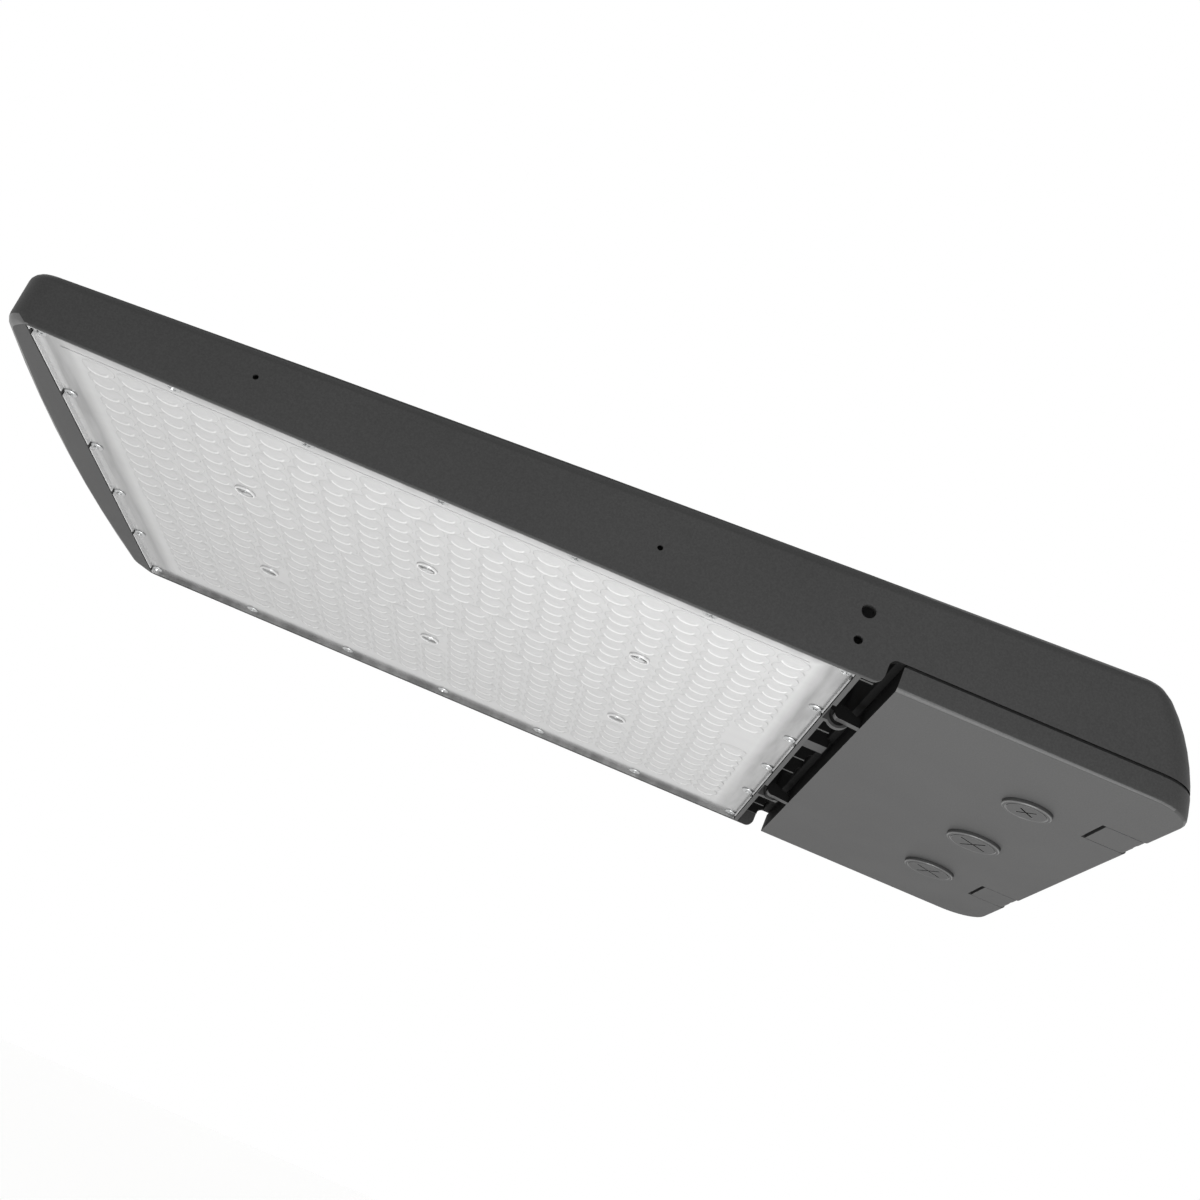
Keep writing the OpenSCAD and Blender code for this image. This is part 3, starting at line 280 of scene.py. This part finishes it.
# Lighter copies: painted highlights on the door's rounded lower edges, the front corners and the
# plugs' shoulders; the shoulder copy is also glossier
EDGE_HIGHLIGHT_COAT = powder_coated_casting("chalked_powder_on_edges", "5e5e5e", "666666", 0.2, 0.45)
SHOULDER_HIGHLIGHT_COAT = powder_coated_casting("polished_powder_on_shoulders", "5a5a5a", "626262",
                                      0.75, 0.36)
CLEAR = moulded_polycarbonate()
STEEL = stainless_steel()
RUBBER = silicone_rubber()
BOARD = white_solder_mask()
CASE = extruded_aluminium()
WHITE_NYLON = moulded_plastic("white_nylon", "dcdad0", "e8e6de", 0.42)
BLACK_NYLON = moulded_plastic("black_nylon", "121213", "1b1b1c", 0.5)
PHOSPHOR = moulded_plastic("phosphor_silicone", "e9d489", "f2e3a6", 0.35)
BLACK_PVC = moulded_plastic("black_pvc_insulation", "101011", "19191a", 0.38)
WHITE_PVC = moulded_plastic("white_pvc_insulation", "dfdfdc", "ebebe8", 0.38)
GREEN_STEEL = moulded_plastic("green_passivated_steel", "12502a", "1c6a39", 0.35)


# Mesh helpers

def piece_from(name, mesh, *materials):
    """A new object at the origin that holds the mesh and its materials."""
    mesh.name = name
    for material in materials:
        mesh.materials.append(material)
    piece = bpy.data.objects.new(name, mesh)
    scene.collection.objects.link(piece)
    return piece


def settled(name, form, *materials):
    """A new object from a bmesh, which is freed."""
    mesh = bpy.data.meshes.new(name)
    form.to_mesh(mesh)
    form.free()
    return piece_from(name, mesh, *materials)


def baked(piece):
    """The piece again as a plain mesh, with its modifiers applied and removed."""
    bpy.context.view_layer.update()
    graph = bpy.context.evaluated_depsgraph_get()
    mesh = bpy.data.meshes.new_from_object(piece.evaluated_get(graph))
    name = piece.name
    old = piece.data
    bpy.data.objects.remove(piece)
    if old.users == 0 and isinstance(old, bpy.types.Mesh):
        bpy.data.meshes.remove(old)
    mesh.name = name
    made = bpy.data.objects.new(name, mesh)
    scene.collection.objects.link(made)
    return made


def mount(piece, body, slot, *replaced):
    """Puts a finished piece on its body and hides the nodes it stands for. The slot is not used."""
    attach(piece, body)
    if replaced:
        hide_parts(*replaced)


def softened_copy(node, name, material, edge, cuts=()):
    """The node's own shape with every edge over 25 degrees rounded by edge millimetres. Its
    faces are divided where X is one of the cuts, so that each side can have its own coat."""
    mesh = bmesh.new()
    mesh.from_mesh(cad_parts[node].data)
    bmesh.ops.remove_doubles(mesh, verts=mesh.verts, dist=0.001 * MM)
    bmesh.ops.dissolve_limit(mesh, angle_limit=math.radians(0.6), verts=mesh.verts,
                             edges=mesh.edges)
    bmesh.ops.remove_doubles(mesh, verts=mesh.verts, dist=0.02 * MM)
    for x in cuts:
        bmesh.ops.bisect_plane(mesh, geom=mesh.verts[:] + mesh.edges[:] + mesh.faces[:],
                               plane_co=(x * MM, 0, 0), plane_no=(1, 0, 0))
    for face in mesh.faces:
        face.smooth = True
    piece = settled(name, mesh, material)
    round_off = piece.modifiers.new("rounded edges", "BEVEL")
    round_off.width = edge * MM
    round_off.segments = 2
    round_off.limit_method = "ANGLE"
    round_off.angle_limit = math.radians(25.0)
    round_off.use_clamp_overlap = True
    shade = piece.modifiers.new("flat faces stay flat", "WEIGHTED_NORMAL")
    shade.keep_sharp = True
    return baked(piece)


def lathe(mesh, profile, centre, steps):
    """Rings of the profile, (radius, height) pairs in metres, round an upright axis through the
    centre. A ring without a radius is a single point."""
    rings = []
    for radius, height in profile:
        around = [2 * math.pi * k / steps for k in range(steps)] if radius > 0 else [0.0]
        rings.append([mesh.verts.new(Vector(centre) + Vector(
            (radius * math.cos(a), radius * math.sin(a), height))) for a in around])
    for low, high in zip(rings, rings[1:]):
        for k in range(steps):
            n = (k + 1) % steps
            corners = [low[k % len(low)], low[n % len(low)],
                       high[n % len(high)], high[k % len(high)]]
            mesh.faces.new(list(dict.fromkeys(corners))).smooth = True
    return rings


def rounded_route(points, bend, steps=6):
    """The points of a route in millimetres, with each square corner turned into an arc."""
    points = [Vector(p) for p in points]
    route = [points[0]]
    for before, corner, after in zip(points, points[1:], points[2:]):
        back = (before - corner).normalized() * bend
        on = (after - corner).normalized() * bend
        for k in range(steps + 1):
            a = math.pi / 2 * k / steps
            route.append(corner + back * (1 - math.sin(a)) + on * (1 - math.cos(a)))
    route.append(points[-1])
    return route


def tube(name, route, radius, material, sides=12):
    """A round wire along a route of points in millimetres, closed at its ends."""
    curve = bpy.data.curves.new(name, "CURVE")
    curve.dimensions = "3D"
    curve.bevel_depth = radius * MM
    curve.bevel_resolution = sides // 4
    curve.use_fill_caps = True
    spline = curve.splines.new("POLY")
    spline.points.add(len(route) - 1)
    for point, place in zip(spline.points, route):
        point.co = (*(place * MM), 1.0)
    piece = bpy.data.objects.new(name, curve)
    scene.collection.objects.link(piece)
    made = baked(piece)
    made.data.materials.clear()
    made.data.materials.append(material)
    for face in made.data.polygons:
        face.use_smooth = True
    return made


def joined(name, pieces):
    """One object from several, their materials kept apart."""
    mesh = bmesh.new()
    materials = []
    for piece in pieces:
        start = len(mesh.faces)
        mesh.from_mesh(piece.data)
        mesh.faces.ensure_lookup_table()
        own = list(piece.data.materials)
        for material in own:
            if material not in materials:
                materials.append(material)
        for face in mesh.faces[start:]:
            face.material_index = materials.index(own[min(face.material_index, len(own) - 1)])
        bpy.data.objects.remove(piece)
    return settled(name, mesh, *materials)


# Geometry Nodes trees

def start_tree(name, inputs):
    """A geometry tree with a geometry in and out, and named inputs (name, kind, value)."""
    tree = bpy.data.node_groups.new(name, "GeometryNodeTree")
    tree.interface.new_socket("Geometry", in_out="INPUT", socket_type="NodeSocketGeometry")
    tree.interface.new_socket("Geometry", in_out="OUTPUT", socket_type="NodeSocketGeometry")
    for label, kind, value in inputs:
        socket = tree.interface.new_socket(label, in_out="INPUT", socket_type="NodeSocket" + kind)
        if value is not None:
            socket.default_value = value
    return tree, add(tree, "NodeGroupInput").outputs


def end_tree(tree, copies, finish):
    """Makes the copies real, gives them their material and ends the tree."""
    real = add(tree, "GeometryNodeRealizeInstances", {"Geometry": copies.outputs["Instances"]})
    done = add(tree, "GeometryNodeSetMaterial", {"Geometry": real.outputs["Geometry"],
                                                 "Material": finish})
    add(tree, "NodeGroupOutput", {"Geometry": done.outputs["Geometry"]})
    return tree


def use_tree(piece, tree, **values):
    """Runs the tree on the piece with its inputs set by name, and returns the plain mesh."""
    modifier = piece.modifiers.new(tree.name, "NODES")
    modifier.node_group = tree
    for item in tree.interface.items_tree:
        label = item.name.replace(" ", "_").lower()
        if item.in_out == "INPUT" and label in values:
            modifier[item.identifier] = values[label]
    return baked(piece)


def grid_tree():
    """Copies the piece over a flat grid of places."""
    tree, given = start_tree("grid of copies", [
        ("Columns", "Int", 10), ("Rows", "Int", 4), ("Column Pitch", "Float", 0.018),
        ("Row Pitch", "Float", 0.01485), ("Start", "Vector", (0, 0, 0)),
        ("Finish", "Material", None)])
    column = add(tree, "GeometryNodeMeshLine", {
        "Count": given["Columns"],
        "Offset": add(tree, "ShaderNodeCombineXYZ", {"X": given["Column Pitch"]}).outputs[0]})
    row = add(tree, "GeometryNodeMeshLine", {
        "Count": given["Rows"], "Start Location": given["Start"],
        "Offset": add(tree, "ShaderNodeCombineXYZ", {"Y": given["Row Pitch"]}).outputs[0]})
    spots = add(tree, "GeometryNodeInstanceOnPoints", {"Points": row.outputs["Mesh"],
                                                       "Instance": column.outputs["Mesh"]})
    spots = add(tree, "GeometryNodeRealizeInstances", {"Geometry": spots.outputs["Instances"]})
    copies = add(tree, "GeometryNodeInstanceOnPoints", {"Points": spots.outputs["Geometry"],
                                                        "Instance": given["Geometry"]})
    return end_tree(tree, copies, given["Finish"])


def spots_tree():
    """Copies the piece to the points of another object, each turned by its own angle."""
    tree, given = start_tree("copies at spots", [
        ("Spots", "Object", None), ("Turn Seed", "Int", 3), ("Finish", "Material", None)])
    spots = add(tree, "GeometryNodeObjectInfo", {"Object": given["Spots"]})
    turn = add(tree, "FunctionNodeRandomValue", {"Max": math.pi / 2, "Seed": given["Turn Seed"]},
               data_type="FLOAT")
    turned = add(tree, "ShaderNodeCombineXYZ", {"Z": turn.outputs[1]})
    copies = add(tree, "GeometryNodeInstanceOnPoints", {
        "Points": spots.outputs["Geometry"], "Instance": given["Geometry"],
        "Rotation": turned.outputs[0]})
    return end_tree(tree, copies, given["Finish"])


GRID = grid_tree()
SPOTS = spots_tree()


# Castings

def recoated(piece, coat, holds):
    """The piece with another coat on the faces for whose middle and normal the test holds."""
    piece.data.materials.append(coat)
    for face in piece.data.polygons:
        if holds(face.center / MM, face.normal):
            face.material_index = len(piece.data.materials) - 1
    return piece


# Where the CAD has the open gap with its ribs, the parting line and the plugs, in millimetres
GAP_X0, GAP_X1 = 143.9, 161.7
GAP_HALF_WIDTH = 187.3
RIB_BOTTOM = 12.6
PARTING_Z = 17.1
PLUG_X = 262.6
PLUG_YS = (-98, 0, 98)


def sheltered(middle, normal):
    """Walls of the open gap above the lower edges of its ribs, and the rim that meets the seal:
    these are painted near black as shade.
    """
    in_gap = (GAP_X0 < middle.x < GAP_X1 and abs(middle.y) < GAP_HALF_WIDTH
              and middle.z > RIB_BOTTOM)
    return in_gap or abs(middle.z - PARTING_Z) < 0.1 and normal.z < -0.9


def beside_arm(middle, normal):
    """The door's walls that face the gap, the side faces of its hinge arms among them: these are
    painted near black as shade.
    """
    return middle.x < GAP_X1 + 0.1 and abs(normal.z) < 0.5 and middle.z > 3.2


def slopes_down(normal, least=0.3):
    """Whether a face looks down and outwards, as those of a rounded lower edge do."""
    return -0.94 < normal.z < -least


def on_edge(middle, normal):
    """The door's rounded lower edge, along its sides and at its front and rear ends, which is
    painted lighter as a highlight.
    """
    at_end = middle.z < 5.8 and not 162 < middle.x < 318
    return slopes_down(normal) and (at_end or abs(middle.y) > 186)


def on_corner(middle, normal):
    """The rounded lower edge of the housing's front corners, which is painted lighter as a
    highlight.
    """
    return slopes_down(normal) and middle.x < -298 and middle.z < 8


def in_slot(middle, normal):
    """Walls and bottom of the crossed slot in a plug, all within 10.8 mm of its middle: painted
    near black as shade.
    """
    return 0.7 < middle.z < 2.4 and min(math.dist(middle.xy, (PLUG_X, y)) for y in PLUG_YS) < 10.8


def on_shoulder(middle, normal):
    """The rounded rim of a plug's head, which is painted lighter as a highlight."""
    return slopes_down(normal, 0.2) and middle.z < 1.4


housing = softened_copy("housing", "housing_casting", COAT, 0.4, cuts=(GAP_X0, GAP_X1))
# Painted shade in the gap and on the rim at the seal, painted highlight on the front corners
recoated(recoated(housing, SHADE_PAINTED_COAT, sheltered), SHOULDER_HIGHLIGHT_COAT, on_corner)
mount(housing, "fixture", "coated_aluminium", "housing")
door = softened_copy("door", "door_casting", COAT, 0.4)
# Painted shade on the walls beside the hinge arms, painted highlight on the rounded lower edges
recoated(recoated(door, SHADE_PAINTED_COAT, beside_arm), EDGE_HIGHLIGHT_COAT, on_edge)
mount(door, "door_tray", "coated_aluminium", "door")
for side in ("near", "far"):
    mount(softened_copy("latch_lever_" + side, f"latch_{side}_casting", COAT, 0.25),
          "latch_" + side, "coated_aluminium", "latch_lever_" + side)
for spot in ("near", "middle", "far"):
    plug = softened_copy("plug_" + spot, f"plug_{spot}_casting", COAT, 0.2)
    # Painted shade in the plug's slot, painted highlight on its shoulder
    recoated(recoated(plug, SHADE_PAINTED_COAT, in_slot), SHOULDER_HIGHLIGHT_COAT, on_shoulder)
    mount(plug, "door_tray", "coated_aluminium", "plug_" + spot)


# Lens

# Front end of the lens and the face of its border, in millimetres
LENS_X0 = -299.4
LENS_Z = 5.4
# The relief of the optic fills the space that the plain plate keeps free below it
OPTIC_DROP = 2.0
# The slab from which the domes hang lies this much below the face of the border
STEP = 0.25
# Edge screws stand 72 mm apart in a frame of 7 by 6, field screws in three pairs
SCREW_SPOTS = [(LENS_X0 + 4 + 72 * i, -180 + 72 * j) for i in range(7) for j in range(6)
               if i in (0, 6) or j in (0, 5)]
FIELD_SPOTS = [(LENS_X0 + x, y) for x in (101, 211, 339) for y in (-68, 68)]


def lens_sheet():
    """The moulded sheet with its edge rib. Its plain slab is pulled back to a low step, from
    which the domes hang."""
    mesh = bmesh.new()
    mesh.from_mesh(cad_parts["lens_plate"].data)
    bmesh.ops.remove_doubles(mesh, verts=mesh.verts, dist=0.001 * MM)
    for vertex in mesh.verts:
        inside = abs(vertex.co.y) < 173 * MM and -289 * MM < vertex.co.x < 130 * MM
        if inside and vertex.co.z < (LENS_Z - 1.0) * MM:
            vertex.co.z = (LENS_Z - STEP) * MM
    bmesh.ops.dissolve_limit(mesh, angle_limit=math.radians(0.6), verts=mesh.verts,
                             edges=mesh.edges)
    return settled("lens_sheet", mesh, CLEAR)


def screw_rings():
    """The raised collar that is moulded round each field screw."""
    mesh = bmesh.new()
    height = mesh.verts.layers.float.new("ridge")
    top = LENS_Z - STEP
    for x, y in FIELD_SPOTS:
        rings = lathe(mesh, [(r * MM, z * MM) for r, z in (
            (4.9, top), (5.0, top - 1.1), (5.35, top - 1.45), (5.9, top - 1.3), (6.3, top))],
            (x * MM, y * MM, 0), 32)
        # Ridge values paint the collar's crest white as a highlight and its edges grey as shade
        for ring, ridge in zip(rings, (-0.6, 0.3, 1.0, 0.8, -0.6)):
            for vertex in ring:
                vertex[height] = ridge
    bmesh.ops.recalc_face_normals(mesh, faces=mesh.faces)
    return settled("screw_rings", mesh, CLEAR)


def dome(length, width, drop):
    """One lens cell that hangs below z = 0: a rounded oblong with a low crown, a crescent
    crest across its far half and a fine second crest near its far edge."""
    mesh = bmesh.new()
    height = mesh.verts.layers.float.new("ridge")
    around = 20
    # Power of the oblong outline: 2 would be an ellipse, and more is squarer
    power = 2.4
    # The crown is this share of the whole drop, and the crests reach the rest
    crown_share = 0.6
    # Ring as a share of the outline; depth and ridge value on the far side of the cell. The
    #         # ridge value paints crests white as highlights and the valley at the outline grey as
    #         shade
    rings = []
    for share, depth, crest in ((1.0, 0.0, -1.0), (0.93, 0.62, 0.45), (0.85, 0.5, -0.15),
                                (0.72, 0.86, 0.2), (0.63, 1.0, 1.0), (0.53, 0.62, 0.1),
                                (0.35, 0.58, 0.0), (0.16, 0.6, 0.0)):
        ring = []
        for k in range(around):
            a = 2 * math.pi * k / around
            blunt = (abs(math.cos(a)) ** power + abs(math.sin(a)) ** power) ** (-1 / power)
            far = max(0.0, math.sin(a)) ** 0.5
            crown = crown_share * (1 - share ** 2) ** 0.7
            vertex = mesh.verts.new((blunt * math.cos(a) * share * length / 2 * MM,
                                     blunt * math.sin(a) * share * width / 2 * MM,
                                     -drop * (crown + (depth - crown) * far) * MM))
            vertex[height] = crest * (far if crest > 0 else 0.35 + 0.65 * far)
            ring.append(vertex)
        rings.append(ring)
    tip = mesh.verts.new((0, 0, -drop * crown_share * MM))
    for outer, inner in zip(rings, rings[1:]):
        for k in range(around):
            n = (k + 1) % around
            mesh.faces.new((outer[k], inner[k], inner[n], outer[n])).smooth = True
    for k in range(around):
        mesh.faces.new((rings[-1][k], tip, rings[-1][(k + 1) % around])).smooth = True
    return settled("dome", mesh, CLEAR)


# Bands of dome rows from the near side to the far side: rows, column pitch, number of columns.
# The rows are 14.85 mm apart and end at X 122.
ROW_PITCH = 14.85
BANDS = [(2, 19.0, 21), (7, 18.1, 22), (4, 19.0, 21), (9, 18.1, 22)]
FIELD_X1 = 122.0
FIELD_Y0 = -162.0


def optic_field():
    """All domes of the lens, band by band, less those at the wire entry and the field screws."""
    bands = []
    y = FIELD_Y0
    for rows, pitch, columns in BANDS:
        x_last = FIELD_X1 - pitch / 2
        bands.append(use_tree(
            dome(pitch - 1.2, ROW_PITCH - 0.2, OPTIC_DROP - STEP), GRID, columns=columns, rows=rows,
            column_pitch=pitch * MM, row_pitch=ROW_PITCH * MM, finish=CLEAR,
            start=((x_last - pitch * (columns - 1)) * MM, y * MM, (LENS_Z - STEP) * MM)))
        y += rows * ROW_PITCH
    field = joined("optic_domes", bands)
    mesh = bmesh.new()
    mesh.from_mesh(field.data)
    # Middle and half sizes of each plain patch: the wire entry and a place for each field screw
    keep_clear = [(112.5, -4.5, 9.0, 23.0)] + [(x, y, 10.5, 9.5) for x, y in FIELD_SPOTS]
    loose = []
    seen = set()
    for start in mesh.verts:
        if start in seen:
            continue
        island, edge = [start], [start]
        seen.add(start)
        while edge:
            for link in edge.pop().link_edges:
                for vertex in link.verts:
                    if vertex not in seen:
                        seen.add(vertex)
                        island.append(vertex)
                        edge.append(vertex)
        x = sum(v.co.x for v in island) / len(island) / MM
        y = sum(v.co.y for v in island) / len(island) / MM
        if any(abs(x - cx) < dx and abs(y - cy) < dy for cx, cy, dx, dy in keep_clear):
            loose += island
    bmesh.ops.delete(mesh, geom=loose, context="VERTS")
    mesh.to_mesh(field.data)
    mesh.free()
    return field


lens = joined("lens_optic", [lens_sheet(), screw_rings(), optic_field()])
mount(lens, "fixture", "lens_polycarbonate", "lens_plate")


# Screws

def pan_screw(length, head):
    """Pan-head screw with its face at z = 0 and its shank upwards, with a cross recess."""
    mesh = bmesh.new()
    crown = [(0.0, 0.05), (1.6, 0.08), (2.7, 0.16), (3.4, 0.32), (3.8, 0.6), (4.0, 0.9),
             (4.0, head), (2.0, head)]
    half_pitch = 0.35
    thread = [(2.0 - 0.22 * (k % 2), head + half_pitch * k)
              for k in range(1, int((length - 1) / half_pitch))]
    profile = crown + thread + [(1.4, head + length), (0.0, head + length)]
    lathe(mesh, [(r * MM, h * MM) for r, h in profile], (0, 0, 0), 24)
    bmesh.ops.recalc_face_normals(mesh, faces=mesh.faces)
    screw = settled("pan_screw", mesh, STEEL)

    # The recess is a cross of two bars that narrow towards its bottom
    mesh = bmesh.new()
    for turn in (0, 90):
        bar = bmesh.ops.create_cube(mesh, size=1.0)["verts"]
        for vertex in bar:
            long, wide, height = (3.0, 0.7, 1.3) if vertex.co.z > 0 else (5.2, 1.3, -0.5)
            vertex.co = Vector((vertex.co.x * long, vertex.co.y * wide, height)) * MM
        bmesh.ops.rotate(mesh, cent=(0, 0, 0), matrix=Matrix.Rotation(math.radians(turn), 3, "Z"),
                         verts=bar)
    cross = settled("cross", mesh)
    cut = screw.modifiers.new("cross recess", "BOOLEAN")
    cut.operation = "DIFFERENCE"
    cut.solver = "EXACT"
    cut.use_self = True
    cut.object = cross
    made = baked(screw)
    bpy.data.objects.remove(cross)
    return made


def screws(name, node, spots, length, z, head=2.0):
    """Screws at the spots, in millimetres, with their faces at the height z."""
    mesh = bpy.data.meshes.new("spots")
    mesh.from_pydata([(x * MM, y * MM, z * MM) for x, y in spots], [], [])
    places = bpy.data.objects.new("spots", mesh)
    scene.collection.objects.link(places)
    made = use_tree(pan_screw(length, head), SPOTS, spots=places, finish=STEEL)
    made.name = name
    bpy.data.objects.remove(places)
    mount(made, "fixture", "stainless_screws", node)


# The heads stand 1.3 and 0.4 mm out of the border's face
screws("lens_edge_screw_set", "lens_edge_screws", SCREW_SPOTS, 9.2, LENS_Z - 1.3, 1.3)
screws("lens_field_screw_set", "lens_field_screws", FIELD_SPOTS, 7.9, LENS_Z - 0.4)


# LED packages

def led_package():
    """A white 3 mm package with a round window of yellow phosphor, face down."""
    mesh = bmesh.new()
    side, depth = 3.0 * MM, 0.55 * MM
    body = bmesh.ops.create_cube(mesh, size=1.0)["verts"]
    bmesh.ops.scale(mesh, vec=(side, side, depth), verts=body)
    bmesh.ops.translate(mesh, vec=(0, 0, -depth / 2), verts=body)
    lathe(mesh, [(0.0, -0.75 * MM), (0.8 * MM, -0.68 * MM), (1.25 * MM, -depth)], (0, 0, 0), 12)
    for face in mesh.faces:
        if face.smooth:
            face.material_index = 1
    bmesh.ops.recalc_face_normals(mesh, faces=mesh.faces)
    return settled("led_package", mesh, PHOSPHOR)


packages = use_tree(led_package(), GRID, columns=21, rows=22, column_pitch=18.6 * MM,
                    row_pitch=ROW_PITCH * MM, finish=PHOSPHOR,
                    start=(-268.0 * MM, -155.9 * MM, 11.8 * MM))
packages.name = "led_packages"
mount(packages, "fixture", "led_board")


# Parts of the driver compartment

for node, slot, material, edge in (
        ("driver", "driver_case", CASE, 0.8),
        ("surge_protector", "black_plastic", BLACK_NYLON, 1.0),
        ("terminal_block", "white_plastic", WHITE_NYLON, 0.5),
        ("ground_screw", "green_screw", GREEN_STEEL, 0.3),
        ("led_connector", "white_plastic", WHITE_NYLON, 0.4)):
    mount(softened_copy(node, node + "_body", material, edge), "fixture", slot, node)

# Screws of the compartment, with their heads' faces at the heights given last
screws("driver_screw_set", "driver_screws", [(x, y) for x in (188.7, 228.7) for y in (-156, 78)],
       7.0, 46.67)
screws("surge_screw_single", "surge_screw", [(197.7, 92)], 7.0, 46.67)
screws("terminal_screw_set", "terminal_screws", [(264.7, 17), (264.7, 73)], 8.0, 45.67)


# Wires

# The LED cable rises from its connector, crosses the gap in its duct and ends at the driver
cable = [(124.2, -17.5, 11.8), (124.2, -17.5, 23.04), (172.2, -17.5, 23.04), (172.2, 78, 23.04),
         (206.2, 78, 23.04), (206.2, 72, 23.04)]
mount(tube("led_cable_jacket", rounded_route(cable, 4.0), 2.18, BLACK_PVC), "fixture",
      "cable_jacket", "led_cable")
# Where each pair leaves its case, how far out along Y and across to X its first lead runs, the
# second lead's step inside the first, and the height
for name, node, start, out, reach, step, level in (
        ("driver_lead_pair", "driver_leads", (228.7, 72), 89, 268.7, 8, 38.67),
        ("surge_lead_pair", "surge_leads", (204.7, 146), 163, 272.7, 16, 43.67)):
    pair = []
    for i, jacket in enumerate((BLACK_PVC, WHITE_PVC)):
        x, y = start[0] + 5 * i, out - 5 * i
        route = [(x, start[1], level), (x, y, level), (reach - step * i, y, level),
                 (reach - step * i, 68, level)]
        pair.append(tube("lead", rounded_route(route, 4.5), 1.48, jacket))
    mount(joined(name, pair), "fixture", "cable_jacket", node)


# Coil springs of the latches

LATCH_PIN_X, LATCH_PIN_Z = 319.2, 5.9
coils = []
for y in (-105.6, 105.6):
    turns, length, radius, steps = 7, 7.6, 2.05, 14
    coil = []
    for k in range(turns * steps + 1):
        a = 2 * math.pi * k / steps
        coil.append(Vector((LATCH_PIN_X + radius * math.cos(a),
                            y - length / 2 + length * k / (turns * steps),
                            LATCH_PIN_Z + radius * math.sin(a))))
    coils.append(tube("coil", coil, 0.38, STEEL, 8))
mount(joined("latch_coil_springs", coils), "door_tray", "stainless_screws", "latch_springs")


# Nodes that are shown as they are

for node, material in {
        "lens_gasket": RUBBER, "cable_grommet": RUBBER, "door_seal": RUBBER, "plug_seals": RUBBER,
        "hinge_pins": STEEL, "latch_pins": STEEL,
        **{f"led_board_{k}": BOARD for k in range(1, 7)}}.items():
    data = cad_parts[node].data
    data.materials.clear()
    data.materials.append(material)


# Studio

def whiteness(tree, lit, seen):
    """A strength that is seen by the camera, in gloss and through glass, and lit for the rest."""
    path = add(tree, "ShaderNodeLightPath").outputs
    rays = path["Is Camera Ray"]
    for kind in ("Is Glossy Ray", "Is Transmission Ray"):
        rays = add(tree, "ShaderNodeMath", {0: rays, 1: path[kind]}, operation="MAXIMUM").outputs[0]
    return add(tree, "ShaderNodeMapRange", {"Value": rays, "To Min": lit,
                                            "To Max": seen}).outputs["Result"]


def studio():
    """A pale floor, a plain pale world, a large soft lamp above and a soft box below."""
    world = bpy.data.worlds.new("pale_studio")
    world.use_nodes = True
    scene.world = world
    tree = world.node_tree
    sky = tree.nodes["Background"]
    sky.inputs["Color"].default_value = (1, 1, 1, 1)
    tree.links.new(whiteness(tree, 0.42, 1.0), sky.inputs["Strength"])

    half, level = 15, -0.85
    mesh = bpy.data.meshes.new("floor")
    mesh.from_pydata([(-half, -half, level), (half, -half, level), (half, half, level),
                      (-half, half, level)], [], [(0, 1, 2, 3)])
    paper, tree, shader, place = start_material("pale_paper", Roughness=0.9)
    fibre = add(tree, "ShaderNodeTexNoise", {"Vector": place, "Scale": 30.0, "Detail": 3.0})
    tone = add(tree, "ShaderNodeMix", {0: fibre.outputs["Fac"], MIX_A: linear("f2f2f1"),
                                       MIX_B: linear("f7f7f6")}, data_type="RGBA")
    tree.links.new(tone.outputs[MIX_OUT], shader.inputs["Base Color"])
    # The paper is seen as white as the world behind it, less the shadow on it
    shader.inputs["Emission Color"].default_value = (1, 1, 1, 1)
    tree.links.new(whiteness(tree, 0.0, 0.55), shader.inputs["Emission Strength"])
    piece_from("floor", mesh, paper)

    for name, place, size, power in (("top_lamp", (0.0, 0.5, 1.9), 2.2, 8.0),
                                     ("low_lamp", (0.2, -0.5, -0.8), 0.6, 9.0)):
        lamp = bpy.data.lights.new(name, "AREA")
        lamp.shape = "SQUARE"
        lamp.size = size
        lamp.energy = power
        holder = bpy.data.objects.new(name, lamp)
        holder.location = place
        aim = Vector((place[0], place[1], 0)) - Vector(place)
        holder.rotation_euler = aim.to_track_quat("-Z", "Y").to_euler()
        holder.visible_camera = False
        scene.collection.objects.link(holder)


studio()
scene.view_settings.view_transform = "Standard"
